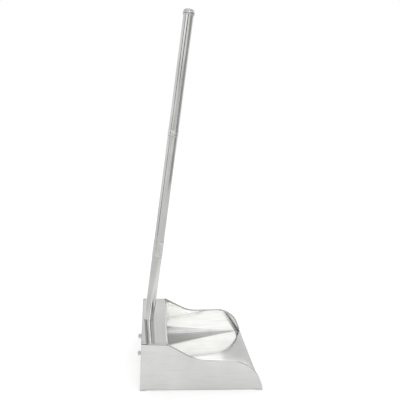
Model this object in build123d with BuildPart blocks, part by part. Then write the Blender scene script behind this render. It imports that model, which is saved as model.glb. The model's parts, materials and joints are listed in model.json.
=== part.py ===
from build123d import *
import os
from math import atan2, cos, pi, radians, sin, tan

# Long-handled dustpan of stainless steel: a folded sheet pan with a tube handle in three screwed lengths.
# Millimetres, +Z up. The mouth faces -Y, and +X is to the right of someone who looks into the mouth.
# The origin is on the ground, in the middle of the footprint.

# Sheet metal
sheet = 1.0             # thickness of every folded sheet
bend = 2.0              # inside radius of a fold
flange = 12.0           # width of the seam flanges
relief = 1.5            # width of the notch at the end of a fold
seam = 0.05             # gap between sheets that are spot welded face to face

# Pan
pan_length = 284.0      # foot of the back panel to the lip
mouth_width = 300.0     # across the side walls at the lip
rear_width = 264.0      # across the side walls at the back panel
back_height = 117.0     # top of the deck at the back
back_lean = 2.7         # forward lean of the back panel, degrees
deck_depth = 61.0       # back panel to the deck's front edge
deck_shoulder = 2.0     # the walls end this far below the deck's top
lip_depth = 16.5        # ramp from the crease in the floor to the lip
floor_upstand = 8.0     # height of the floor's turned-up sides

# Top edge of the side walls, behind to front: dip and brow are the corners that the curves round off
dip_distance = 132.0    # back panel's foot to the dip
dip_height = 73.5
dip_radius = 90.0
brow_distance = 259.4   # back panel's foot to the brow
brow_height = 69.2
brow_radius = 70.0
curl = 2.0              # outside radius of the rolled edge
curl_proud = 0.4        # how far the roll stands outside the wall
curl_end_height = 7.0   # the roll stops this far above the ground

# Handle
tube_diameter = 24.0
tube_wall = 0.8
handle_lean = 7.9       # forward lean of the handle, degrees
handle_setback = 16.8   # back panel to the handle's axis, along the deck
hole_gap = 0.3          # round the tube where it passes through the deck
lower_joint = 165.5     # deck to the lower screw joint, along the handle
upper_joint = 464.5     # deck to the upper screw joint
handle_reach = 751.0    # deck to the top of the end cap
sleeve_length = 41.0    # sleeve over the lower joint
ring_length = 14.0      # ring over the upper joint
collar_wall = 0.4       # thickness of the sleeve and the ring
bead_height = 0.4       # rolled bead on the sleeve and the ring
bead_width = 4.0
bead_inset = 6.0        # foot of the sleeve to the middle of its lower bead
bead_pitch = 31.5       # between the sleeve's two beads
round_below = 8.0       # round stretch of tube below the deck
tang_top = 80.0         # top of the flattened tube end, up the back panel
tang_bottom = 10.0
tang_round = 8.0        # corners of the flattened end
press_slit = 0.2        # half of the gap between the walls where the tube is pressed flat

# Screw joints
stud_diameter = 12.0
stud_reach = 24.0       # stud below the joint
stud_hold = 24.0        # stud above the joint
stud_room = 4.0         # free depth below the stud in its socket
stud_chamfer = 1.0
bush_rim = 2.0          # rim of the socket bush on the tube's end
bush_web = 2.0          # closed end of a bush
press_gap = 0.02        # round a piece that is pressed into another
running_gap = 0.05      # between pieces that turn on each other

# End cap
cap_wall = 1.6          # thickness of the skirt round the tube
cap_skirt = 11.5        # foot of the cap to the edge of its dome
cap_round = 1.4         # rounding at the skirt's foot
cap_top = 2.0           # the tube ends this far below the dome
dome_rise = 3.3
cap_shoulder = 8.0      # rounding where the dome meets the skirt
stem_length = 15.0      # the cap's stem in the tube
stem_wall = 2.0

# Handle bolts
bolt_diameter = 6.0
bolt_gap = 0.2          # round a bolt in its hole
bolt_low = 23.0         # lower bolt, up the back panel
bolt_pitch = 47.0
bolt_tail = 1.2         # bolt beyond its nut
bolt_chamfer = 0.6
head_diameter = 11.5
head_height = 4.0
head_round = 2.2
recess_length = 6.0     # cross recess in the head
recess_width = 1.4
recess_depth = 2.0
washer_diameter = 12.5
washer_thickness = 1.2
spring_diameter = 10.6
spring_thickness = 1.6
spring_split = 1.0
nut_flats = 10.0
nut_height = 5.0
nut_bevel = 30.0        # slope of the nut's outer corners, degrees

# Worked out from the sizes above
lean = radians(back_lean)
taper = atan2((mouth_width - rear_width) / 2, pan_length)
tube_radius = tube_diameter / 2
bore_radius = tube_radius - tube_wall
tang_thickness = 2 * tube_wall
tang_width = pi * tube_radius - tang_thickness
bolt_radius = bolt_diameter / 2
stud_radius = stud_diameter / 2
bush_radius = bore_radius - press_gap
stack_height = washer_thickness + spring_thickness + nut_height + bolt_tail
tail_low = bolt_low - bolt_radius + bolt_chamfer
rear_reach = stack_height * cos(lean) - tail_low * sin(lean)
rear_y = (pan_length - rear_reach) / 2
crease = pan_length - lip_depth

# Planes: the outside of the back panel, the top of the deck, the outside of the right wall, the handle
back_up = Vector(0, -sin(lean), cos(lean))
back_out = Vector(0, cos(lean), sin(lean))
back_plane = Plane(origin=(0, rear_y, 0), x_dir=(-1, 0, 0), z_dir=back_out)
back_top = back_height / cos(lean)
deck_plane = Plane(origin=back_plane.from_local_coords((0, back_top, 0)), x_dir=(1, 0, 0), z_dir=back_up)
wall_plane = Plane(
    origin=(rear_width / 2, rear_y, 0),
    x_dir=(sin(taper), -cos(taper), 0),
    z_dir=(-cos(taper), -sin(taper), 0),
)
handle_up = Vector(0, -sin(radians(handle_lean)), cos(radians(handle_lean)))
handle_foot = deck_plane.from_local_coords((0, -handle_setback, 0))
handle_plane = Plane(origin=handle_foot, x_dir=(1, 0, 0), z_dir=handle_up)
handle_side = Plane(origin=handle_foot, x_dir=(1, 0, 0), z_dir=-handle_plane.y_dir)
handle_axis = Axis(handle_foot, handle_up)
lining_plane = wall_plane.offset(sheet + seam)
lining_mirrored = Plane(
    origin=(-lining_plane.origin.X, lining_plane.origin.Y, 0),
    x_dir=(-sin(taper), -cos(taper), 0),
    z_dir=(cos(taper), -sin(taper), 0),
)


def on_wall(distance, height):
    """Point of a wall sketch, from the distance in front of the back panel's foot and the height."""
    return (distance / cos(taper), height)


def behind(height):
    """How far the leaning back panel's outside is in front of its foot at a height."""
    return height * tan(lean)


def edge_near(part, plane, x, y, z):
    """The edge of a part that is nearest to a point given in a plane's own directions."""
    return part.edges().sort_by_distance(plane.from_local_coords((x, y, z)))[0]


def save(part, label):
    """Names a finished piece and writes its file."""
    part.label = label
    export_step(part, f"parts/{label}.step")


os.makedirs("parts", exist_ok=True)

# Side walls
deck_front = behind(back_height) + deck_depth * cos(lean)
deck_front_height = back_height - deck_depth * sin(lean)
wall_top = back_height - deck_shoulder
edge_start = on_wall(deck_front, deck_front_height - deck_shoulder)
edge_dip = on_wall(dip_distance, dip_height)
edge_brow = on_wall(brow_distance, brow_height)
lip_corner = on_wall(pan_length, 0)
curl_share = curl_end_height / brow_height
curl_end = tuple(corner + (brow - corner) * curl_share for corner, brow in zip(lip_corner, edge_brow))
seam_start = on_wall(sheet + flange + 2 * relief, 0)[0]
seam_end = on_wall(crease - 2 * relief, 0)[0]
seam_middle = (seam_start + seam_end) / 2

with BuildPart() as right_side_wall:
    with BuildSketch(wall_plane):
        with BuildLine():
            FilletPolyline(edge_start, edge_dip, edge_brow, lip_corner, radius=[dip_radius, brow_radius])
            Polyline(lip_corner, (0, 0), on_wall(behind(wall_top), wall_top), edge_start)
        make_face()
    extrude(amount=sheet)
    with BuildSketch(wall_plane):
        with Locations((seam_middle, sheet / 2)):
            Rectangle(seam_end - seam_start, sheet)
    extrude(amount=flange)
    with BuildSketch(wall_plane):
        with Locations((seam_start - relief / 2, 0), (seam_end + relief / 2, 0)):
            Rectangle(relief, 2 * (sheet + bend + relief))
    extrude(amount=sheet, mode=Mode.SUBTRACT)
    fillet(edge_near(right_side_wall.part, wall_plane, seam_middle, sheet, sheet), bend)
    fillet(edge_near(right_side_wall.part, wall_plane, seam_middle, 0, 0), bend + sheet)
    with BuildLine(wall_plane.offset(curl - curl_proud)) as curl_path:
        FilletPolyline(edge_start, edge_dip, edge_brow, curl_end, radius=[dip_radius, brow_radius])
    curl_line = curl_path.wire()
    with BuildSketch(Plane(origin=curl_line @ 0, z_dir=curl_line % 0)):
        Circle(curl)
    sweep(path=curl_line)
    with BuildSketch(Plane(origin=curl_line @ 0, z_dir=curl_line % 0)):
        Circle(curl - sheet)
    sweep(path=curl_line, mode=Mode.SUBTRACT)
save(right_side_wall.part, "right_side_wall")

with BuildPart() as left_side_wall:
    mirror(right_side_wall.part, about=Plane.YZ)
save(left_side_wall.part, "left_side_wall")

# Floor: a flat plate with a ramp down to the lip and turned-up sides that nest in the walls' folds
floor_top = 2 * sheet
floor_rear = rear_y - sheet / cos(lean) - behind(floor_top) - seam
upstand_start = seam_start - relief / 2
upstand_end = seam_end + relief / 2
upstand_middle = (upstand_start + upstand_end) / 2
with BuildPart() as floor_plate:
    with BuildSketch(Plane.YZ):
        Polygon(
            (floor_rear, sheet), (rear_y - crease, sheet), (rear_y - pan_length, 0),
            (rear_y - pan_length, sheet), (rear_y - crease, floor_top), (floor_rear, floor_top),
            align=None,
        )
    extrude(amount=mouth_width, both=True)
    split(bisect_by=lining_plane, keep=Keep.TOP)
    split(bisect_by=lining_mirrored, keep=Keep.TOP)
    with BuildSketch(lining_plane):
        with Locations((upstand_middle, sheet + floor_upstand / 2)):
            Rectangle(upstand_end - upstand_start, floor_upstand)
    extrude(amount=sheet)
    with BuildSketch(lining_plane):
        with Locations((upstand_start - relief / 2, sheet), (upstand_end + relief / 2, sheet)):
            Rectangle(relief, 2 * (sheet + bend))
    extrude(amount=sheet + bend, mode=Mode.SUBTRACT)
    fillet(edge_near(floor_plate.part, lining_plane, upstand_middle, floor_top, sheet), bend - sheet)
    fillet(edge_near(floor_plate.part, lining_plane, upstand_middle, sheet, 0), bend)
    split(bisect_by=Plane.YZ, keep=Keep.TOP)
    mirror(about=Plane.YZ)
save(floor_plate.part, "floor_plate")

# Back panel: flanges turned forwards along the walls and under the floor
panel_top = wall_top / cos(lean)
hem_low = floor_top + relief
hem_high = wall_top - sheet - relief
hem_middle = (hem_low + hem_high) / 2
bolt_points = [(0, bolt_low), (0, bolt_low + bolt_pitch)]
with BuildPart() as back_panel:
    with BuildSketch(back_plane):
        with Locations((0, panel_top / 2)):
            Rectangle(mouth_width, panel_top)
        with Locations(*bolt_points):
            Circle(bolt_radius + bolt_gap, mode=Mode.SUBTRACT)
    extrude(amount=-sheet)
    with BuildSketch(Plane.YZ):
        Polygon(
            (rear_y, 0), (rear_y - behind(sheet), sheet), (rear_y - flange, sheet), (rear_y - flange, 0),
            align=None,
        )
    extrude(amount=mouth_width / 2, both=True)
    split(bisect_by=Plane.XY, keep=Keep.TOP)
    split(bisect_by=lining_plane, keep=Keep.TOP)
    with BuildSketch(lining_plane):
        Polygon(
            on_wall(behind(hem_low), hem_low), on_wall(behind(hem_low) + flange, hem_low),
            on_wall(behind(hem_high) + flange, hem_high), on_wall(behind(hem_high), hem_high),
            align=None,
        )
    extrude(amount=sheet)
    with BuildSketch(lining_plane):
        with Locations((0, hem_low - relief / 2), (behind(hem_high), hem_high + relief / 2)):
            Rectangle(2 * flange, relief)
    extrude(amount=2 * (sheet + bend), mode=Mode.SUBTRACT)
    fillet(edge_near(back_panel.part, lining_plane, behind(hem_middle) + sheet, hem_middle, sheet), bend)
    fillet(edge_near(back_panel.part, lining_plane, behind(hem_middle), hem_middle, 0), bend + sheet)
    split(bisect_by=Plane.YZ, keep=Keep.TOP)
    mirror(about=Plane.YZ)
    fillet(back_panel.edges().sort_by_distance((0, rear_y, 0))[0], sheet)
save(back_panel.part, "back_panel")

# Deck: a plate between the walls, square to the back panel, with flanges turned down on all four sides


def deck_line(distance):
    """Height of the deck's top at a distance in front of the back panel's foot."""
    return back_height - (distance - behind(back_height)) * tan(lean)


def deck_half(distance):
    """Half of the deck's width at a distance in front of the back panel's foot."""
    return rear_width / 2 + distance * tan(taper) - (sheet + seam) / cos(taper)


cheek_start = behind(back_height) + flange + 2 * relief
cheek_end = deck_front - 2 * relief
cheek_middle = (cheek_start + cheek_end) / 2
apron_half = deck_half(behind(back_height)) - 2 * (sheet + bend) - relief
apron_width = 2 * apron_half
notch_depth = sheet + bend + relief
with BuildPart() as deck_plate:
    with BuildSketch(deck_plane):
        with Locations((0, -(deck_depth + sheet + seam) / 2)):
            Rectangle(mouth_width, deck_depth - sheet - seam)
    extrude(amount=-sheet)
    split(bisect_by=lining_plane, keep=Keep.TOP)
    with BuildSketch(lining_plane):
        Polygon(
            on_wall(cheek_start, deck_line(cheek_start) - sheet / 2),
            on_wall(cheek_end, deck_line(cheek_end) - sheet / 2),
            on_wall(cheek_end, deck_line(cheek_end) - flange),
            on_wall(cheek_start, deck_line(cheek_start) - flange),
            align=None,
        )
    extrude(amount=sheet)
    with BuildSketch(lining_plane):
        for end, side in ((cheek_start, -1), (cheek_end, 1)):
            with Locations(on_wall(end + side * relief / 2, deck_line(end))):
                Rectangle(relief / cos(taper), 2 * flange)
    extrude(amount=notch_depth, mode=Mode.SUBTRACT)
    for fold, side in ((sheet + seam, -1), (deck_depth, 1)):
        with BuildSketch(back_plane.offset(-fold)):
            with Locations((0, back_top - flange / 2)):
                Rectangle(apron_width, flange)
        extrude(amount=side * sheet)
        with BuildSketch(back_plane.offset(-fold)):
            with Locations((-apron_half - relief / 2, back_top), (apron_half + relief / 2, back_top)):
                Rectangle(relief, 2 * flange)
        extrude(amount=side * notch_depth, mode=Mode.SUBTRACT)
    cheek_fold = (cheek_middle / cos(taper), deck_line(cheek_middle))
    fillet(edge_near(deck_plate.part, lining_plane, cheek_fold[0], cheek_fold[1] - sheet, sheet), bend)
    fillet(edge_near(deck_plate.part, lining_plane, *cheek_fold, 0), bend + sheet)
    split(bisect_by=Plane.YZ, keep=Keep.TOP)
    mirror(about=Plane.YZ)
    for fold, side in ((sheet + seam, -1), (deck_depth, 1)):
        fillet(edge_near(deck_plate.part, deck_plane, 0, side * sheet - fold, -sheet), bend)
        fillet(edge_near(deck_plate.part, deck_plane, 0, -fold, 0), bend + sheet)
    with BuildSketch(handle_plane):
        Circle(tube_radius + hole_gap)
    extrude(amount=flange, both=True, mode=Mode.SUBTRACT)
save(deck_plate.part, "deck_plate")

# Lower tube: round through the deck, then pressed flat against the back panel for the bolts
tang_plane = back_plane.offset(-sheet - seam)
press_plane = Plane(
    origin=tang_plane.from_local_coords((0, tang_top, -tang_thickness / 2)), x_dir=(1, 0, 0), z_dir=back_up
)
with BuildPart() as lower_tube:
    with BuildSketch(handle_plane.offset(-round_below)):
        Circle(tube_radius)
    extrude(amount=round_below + lower_joint - bush_rim)
    with BuildSketch(handle_plane.offset(-round_below)):
        Ellipse(tube_radius, tube_radius)
    with BuildSketch(press_plane):
        Ellipse(tang_width / 2, tang_thickness / 2)
    loft()
    with BuildSketch(handle_plane.offset(-round_below)):
        Circle(bore_radius)
    extrude(amount=round_below + lower_joint, mode=Mode.SUBTRACT)
    with BuildSketch(handle_plane.offset(-round_below)):
        Ellipse(bore_radius, bore_radius)
    with BuildSketch(press_plane):
        Ellipse(tang_width / 2 - tube_wall, press_slit)
    loft(mode=Mode.SUBTRACT)
    with BuildSketch(tang_plane):
        with Locations((0, (tang_top + tang_bottom) / 2)):
            Rectangle(tang_width, tang_top - tang_bottom)
        fillet(vertices().group_by(Axis.Y)[0], tang_round)
        with Locations(*bolt_points):
            Circle(bolt_radius + bolt_gap, mode=Mode.SUBTRACT)
    extrude(amount=-tang_thickness)
save(lower_tube.part, "lower_tube")

# Screw joints: a socket bush in the tube below, a stud, and the bush that holds the stud in the tube above
socket_length = stud_reach + stud_room + bush_web
for below, above, joint in (("lower", "middle", lower_joint), ("middle", "upper", upper_joint)):
    socket_radius = stud_radius + running_gap
    socket_foot = joint - socket_length
    with BuildPart() as socket_bush:
        with BuildSketch(handle_side):
            Polygon(
                (0, socket_foot), (bush_radius, socket_foot), (bush_radius, joint - bush_rim),
                (tube_radius, joint - bush_rim), (tube_radius, joint), (socket_radius, joint),
                (socket_radius, socket_foot + bush_web), (0, socket_foot + bush_web),
                align=None,
            )
        revolve(axis=handle_axis)
    save(socket_bush.part, f"{below}_socket_bush")

    with BuildPart() as stud:
        with BuildSketch(handle_plane.offset(joint - stud_reach)):
            Circle(stud_radius)
        extrude(amount=stud_reach + stud_hold)
        chamfer(stud.edges().filter_by(GeomType.CIRCLE), stud_chamfer)
    save(stud.part, f"{above}_stud")

    hold_radius = stud_radius + press_gap
    hold_top = joint + stud_hold
    with BuildPart() as stud_bush:
        with BuildSketch(handle_side):
            Polygon(
                (hold_radius, joint + running_gap), (bush_radius, joint + running_gap),
                (bush_radius, hold_top + bush_web), (0, hold_top + bush_web),
                (0, hold_top), (hold_radius, hold_top),
                align=None,
            )
        revolve(axis=handle_axis)
    save(stud_bush.part, f"{above}_stud_bush")

# Sleeve and ring that cover the two joints
collar_radius = tube_radius + running_gap
for label, joint, length, beads in (
    ("lower_sleeve", lower_joint, sleeve_length, (bead_inset, bead_inset + bead_pitch)),
    ("upper_ring", upper_joint, ring_length, (ring_length / 2,)),
):
    with BuildPart() as collar:
        with BuildSketch(handle_side):
            with Locations(*[(collar_radius + collar_wall, joint + bead) for bead in beads]):
                Ellipse(bead_height, bead_width / 2)
            with Locations((collar_radius / 2, joint + length / 2)):
                Rectangle(collar_radius, length, mode=Mode.SUBTRACT)
            with Locations((collar_radius + collar_wall / 2, joint + (length + running_gap) / 2)):
                Rectangle(collar_wall, length - running_gap)
        revolve(axis=handle_axis)
    save(collar.part, label)

# Middle and upper tubes
dome_foot = handle_reach - dome_rise
tube_top = dome_foot - cap_top
for label, start, end in (
    ("middle_tube", lower_joint + running_gap, upper_joint - bush_rim),
    ("upper_tube", upper_joint + running_gap, tube_top),
):
    with BuildPart() as tube:
        with BuildSketch(handle_plane.offset(start)):
            Circle(tube_radius)
            Circle(bore_radius, mode=Mode.SUBTRACT)
        extrude(amount=end - start)
    save(tube.part, label)

# End cap: a dome on a skirt over the tube's end, with a hollow stem in the bore
skirt_foot = dome_foot - cap_skirt
cap_radius = tube_radius + press_gap + cap_wall
crown_radius = (cap_radius ** 2 + dome_rise ** 2) / (2 * dome_rise)
stem_foot = tube_top - stem_length
with BuildPart() as end_cap:
    with BuildSketch(handle_side):
        with BuildLine():
            RadiusArc((cap_radius, dome_foot), (0, handle_reach), -crown_radius)
            Polyline(
                (0, handle_reach), (0, dome_foot), (bush_radius - stem_wall, dome_foot),
                (bush_radius - stem_wall, stem_foot), (bush_radius, stem_foot), (bush_radius, tube_top),
                (tube_radius + press_gap, tube_top), (tube_radius + press_gap, skirt_foot),
                (cap_radius, skirt_foot), (cap_radius, dome_foot),
            )
        make_face()
        fillet(vertices().sort_by_distance((cap_radius, dome_foot))[0], cap_shoulder)
        fillet(vertices().sort_by_distance((cap_radius, skirt_foot))[0], min(cap_round, 0.9 * cap_wall))
    revolve(axis=handle_axis)
save(end_cap.part, "end_cap")

# Bolts that hold the flattened tube end to the back panel, with washers and nuts outside
grip = sheet + seam + tang_thickness
with BuildPart() as handle_bolts:
    with BuildSketch(back_plane.offset(-grip)):
        with Locations(*bolt_points):
            Circle(head_diameter / 2)
    extrude(amount=-head_height)
    fillet(handle_bolts.edges().group_by(Axis(back_plane.origin, back_out))[0], head_round)
    with BuildSketch(back_plane.offset(-grip)):
        with Locations(*bolt_points):
            Circle(bolt_radius)
    extrude(amount=grip + stack_height)
    chamfer(handle_bolts.edges().group_by(Axis(back_plane.origin, back_out))[-1], bolt_chamfer)
    with BuildSketch(back_plane.offset(-grip - head_height)):
        with Locations(*bolt_points):
            Rectangle(recess_length, recess_width)
            Rectangle(recess_width, recess_length)
    extrude(amount=recess_depth, mode=Mode.SUBTRACT)
save(handle_bolts.part, "handle_bolts")

with BuildPart() as flat_washers:
    with BuildSketch(back_plane):
        with Locations(*bolt_points):
            Circle(washer_diameter / 2)
            Circle(bolt_radius + bolt_gap, mode=Mode.SUBTRACT)
    extrude(amount=washer_thickness)
save(flat_washers.part, "flat_washers")

with BuildPart() as spring_washers:
    with BuildSketch(back_plane.offset(washer_thickness)):
        with Locations(*bolt_points):
            Circle(spring_diameter / 2)
            Circle(bolt_radius + bolt_gap, mode=Mode.SUBTRACT)
        with Locations(*[(x + spring_diameter / 2, y) for x, y in bolt_points]):
            Rectangle(spring_diameter, spring_split, mode=Mode.SUBTRACT)
    extrude(amount=spring_thickness)
save(spring_washers.part, "spring_washers")

nut_seat = washer_thickness + spring_thickness
with BuildPart() as hex_nuts:
    with BuildSketch(back_plane.offset(nut_seat)):
        with Locations(*bolt_points):
            RegularPolygon(nut_flats / 2, 6, major_radius=False)
            Circle(bolt_radius + press_gap, mode=Mode.SUBTRACT)
    extrude(amount=nut_height)
    with BuildSketch(back_plane.offset(nut_seat + nut_height)):
        with Locations(*bolt_points):
            Circle(nut_flats / 2)
    extrude(amount=-nut_height, taper=nut_bevel - 90, mode=Mode.INTERSECT)
save(hex_nuts.part, "hex_nuts")
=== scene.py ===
"""Long-handled dustpan of bright stainless steel: folded sheet pan, tube handle in three screwed lengths."""
import json
from math import atan2, cos, pi, radians, sin, tan
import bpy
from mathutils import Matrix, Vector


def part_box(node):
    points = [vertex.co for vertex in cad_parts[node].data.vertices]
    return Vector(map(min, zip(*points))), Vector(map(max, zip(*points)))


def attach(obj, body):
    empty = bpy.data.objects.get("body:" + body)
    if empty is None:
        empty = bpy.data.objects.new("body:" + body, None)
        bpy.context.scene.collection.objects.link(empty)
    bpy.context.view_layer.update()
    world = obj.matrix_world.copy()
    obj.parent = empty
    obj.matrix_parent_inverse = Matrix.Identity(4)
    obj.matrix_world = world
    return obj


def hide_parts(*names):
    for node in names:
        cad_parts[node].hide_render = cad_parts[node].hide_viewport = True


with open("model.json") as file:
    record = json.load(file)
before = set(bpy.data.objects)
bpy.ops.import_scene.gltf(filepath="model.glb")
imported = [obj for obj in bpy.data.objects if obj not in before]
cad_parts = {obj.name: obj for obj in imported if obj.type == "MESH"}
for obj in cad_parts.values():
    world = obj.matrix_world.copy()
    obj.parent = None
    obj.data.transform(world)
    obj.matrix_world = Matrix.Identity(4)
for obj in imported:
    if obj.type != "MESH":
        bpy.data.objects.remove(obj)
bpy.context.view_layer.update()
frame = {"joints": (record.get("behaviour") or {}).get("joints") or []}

from types import SimpleNamespace

import bmesh
import bpy
import numpy as np
from mathutils import Matrix

bl_info = {
    "name": "Long-handled dustpan",
    "version": (1, 0, 0),
    "blender": (4, 5, 0),
    "location": "3D View > Sidebar > Dustpan",
    "description": "Folded stainless pan with a screwed tube handle, its finishes and a plain studio",
    "category": "Add Mesh",
}

MM = 0.001
X_AXIS = np.array([1.0, 0.0, 0.0])
WHITE = (1, 1, 1, 1)

# Fineness of the meshes
WALL_COLUMNS, FLOOR_COLUMNS, BACK_ROWS, DECK_ROWS = 170, 60, 40, 36
MERGE_DISTANCE = 0.002 * MM  # points nearer than this are one
SLACK = 1e-7  # allowed when a place is compared with a mark
CLEAR_OF_MARK = 0.3  # of a step: no even place stands nearer to a mark
SLOPE_STEP = 0.05 * MM  # to both sides, for the slope of the walls' top edge
SHEET_CREASE, ROUND_CREASE, THREAD_CREASE = radians(50), radians(40), radians(35)

# Small forms of the sheets
DECK_CORNER = 0.2 * MM  # rounding of the walls' top edge at the deck's front
FOLD_SHARE, NOTCH_SHARE, BLEND_SHARE = 0.15, 0.25, 0.3  # of the wall's height, the most each takes
CREASE_REACH = 0.03  # of the crease's radius: half of the ramp's slope, where the arc starts and ends
LEAST_MARGIN = 0.5 * MM  # of the rising strips, where they run out
MARGIN_START = 0.75  # of the strips' slope, where they run out
LIP_EDGE = 0.12  # of the sheet's thickness, left at the edge of the lip

# Small forms of the handle and its bolts
STUD_STEPS, BOLT_STEPS = 12, 10  # places in one turn of a thread, along the axis
THREAD_FLANK, THREAD_CREST = 3.2, 0.3  # steepness of a thread's wave, and how much of it is cut off flat
MOST_OF_SIDE = 0.45  # of a short side, the most that a rounded corner takes
BEAD_SPREAD = 1.4  # a bead's cosine is drawn this much wider, because its skirts hardly show
ROUND_FLATNESS, TANG_FLATNESS = 0.01, 5.0  # of the tube's rings where it is round, and what pressing adds
POLE = 0.2 * MM  # radius of the pinhole on the bushes' axis
NUT_FACE = 0.98  # of the flats: radius of the nut's round end faces
RIM_END = 0.999  # of the bolt head's rounding: keeps its last ring off the upright
RECESS_WALL = 0.3 * MM  # width of the recess's sloped walls
SPRING_ROUND, WASHER_ROUND = 0.2 * MM, 0.25 * MM

# Directions of rolling in the sheets
ACROSS, ALONG = (0, 0, 0), (0, 0, radians(90))

# Studio: small soft boxes beyond the pan, with place, direction, width and height in metres
KICK = (0.4, -0.21, 0.308), (-0.874, 0.268, -0.405), 0.172, 0.082
FILL = (0.735, -0.1125, 0.4575), (-0.867, 0.111, -0.486), 0.144, 0.109
SMALL_BEAM = radians(30)
FLOOR_DROP = 0.05 * MM  # the studio's floor lies this far below the ground line

# Flags: middle and width of the arc in degrees, from straight left towards the mouth, then distance from the
# handle, foot and top in metres, and the cloth
CLOTHS = {"black": "#4A4A4A", "pale": "#C4C4C4", "light": "#F6F6F6"}
FLAGS = (
    ("flag_left_low", -60, 10, 1.6, 0.1, 0.6, "black"),
    ("flag_left", -60, 10, 4.0, 0.45, 2.15, "black"),
    ("flag_left_high", -62, 10, 1.6, 1.0, 1.25, "black"),
    ("flag_middle", 6, 72, 2.6, 0.38, 0.8, "light"),
    ("flag_camera", -5, 14, 4.0, 0.95, 1.8, "black"),
    ("flag_right_low", 75, 58, 1.5, 0.02, 0.55, "pale"),
    ("flag_right", 75, 58, 0.55, 0.46, 0.93, "pale"),
    ("flag_far", 28.4, 16.0, 10.0, 3.25, 4.6, "black"),
)


# Properties

def length(name, description, millimetres):
    """A length property, given in millimetres and kept in metres."""
    default = millimetres * MM
    return bpy.props.FloatProperty(name=name, description=description, default=default, unit="LENGTH")


def angle(name, description, degrees):
    """An angle property, given in degrees and kept in radians."""
    default = radians(degrees)
    return bpy.props.FloatProperty(name=name, description=description, default=default, unit="ROTATION")


def amount(name, description, default):
    """A plain number."""
    return bpy.props.FloatProperty(name=name, description=description, default=default, precision=4)


def linear(code):
    """Linear RGBA of an sRGB hex colour."""
    srgb = np.array([int(code[place:place + 2], 16) for place in (1, 3, 5)]) / 255
    rgb = np.where(srgb <= 0.04045, srgb / 12.92, ((srgb + 0.055) / 1.055) ** 2.4)
    return (*rgb.tolist(), 1.0)


def colour(name, description, code):
    """A colour property, given as sRGB hex and kept linear."""
    return bpy.props.FloatVectorProperty(
        name=name, description=description, default=linear(code), size=4, subtype="COLOR", min=0, max=1
    )


class DustpanPanSizes(bpy.types.PropertyGroup):
    """Sizes of the folded sheets."""
    sheet: length("Sheet", "Thickness of every folded sheet", 1.0)
    bend: length("Bend", "Inside radius of a fold", 2.0)
    flange: length("Flange", "Width of the seam flanges", 12.0)
    relief: length("Relief", "Width of the notch at the end of a fold", 1.5)
    seam: length("Seam", "Gap between sheets that lie face to face", 0.05)
    pan_length: length("Pan length", "Foot of the back panel to the lip", 284.0)
    mouth_width: length("Mouth width", "Across the side walls at the lip", 300.0)
    rear_width: length("Rear width", "Across the side walls at the back panel", 264.0)
    back_height: length("Back height", "Top of the deck at the back", 117.0)
    back_lean: angle("Back lean", "Forward lean of the back panel", 2.7)
    deck_depth: length("Deck depth", "Back panel to the deck's front edge", 61.0)
    deck_shoulder: length("Deck shoulder", "The walls end this far below the deck's top", 2.0)
    lip_depth: length("Lip depth", "Ramp from the crease in the floor to the lip", 16.5)
    crease_radius: length("Crease radius", "Rounding of the crease in the floor", 40.0)
    floor_upstand: length("Floor upstand", "Height of the floor's turned-up sides", 8.0)
    margin_width: length("Margin width", "Strip of floor that rises to the wall, at the deck's front", 60.0)
    margin_slope: angle("Margin slope", "Rise of that strip", 4.5)
    lip_bevel: length("Lip bevel", "Strip of the lip that is thinned to an edge", 4.0)
    dip_distance: length("Dip distance", "Back panel's foot to the dip in the top edge", 132.0)
    dip_height: length("Dip height", "Height of the dip's corner", 73.5)
    dip_radius: length("Dip radius", "Rounding of the dip", 90.0)
    brow_distance: length("Brow distance", "Back panel's foot to the brow in the top edge", 259.4)
    brow_height: length("Brow height", "Height of the brow's corner", 69.2)
    brow_radius: length("Brow radius", "Rounding of the brow", 70.0)
    curl: length("Curl", "Outside radius of the rolled edge", 2.0)
    curl_proud: length("Curl proud", "How far the roll stands outside the wall", 0.4)
    curl_turn: angle("Curl turn", "How far round the edge is rolled", 250.0)
    curl_end_height: length("Curl end", "The roll stops this far above the ground", 7.0)
    edge_blend: length("Edge blend", "Strip of wall that leads out to the roll", 2.5)
    edge_bevel: length("Edge bevel", "Rounding of the cut sheet edges", 0.15)


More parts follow.
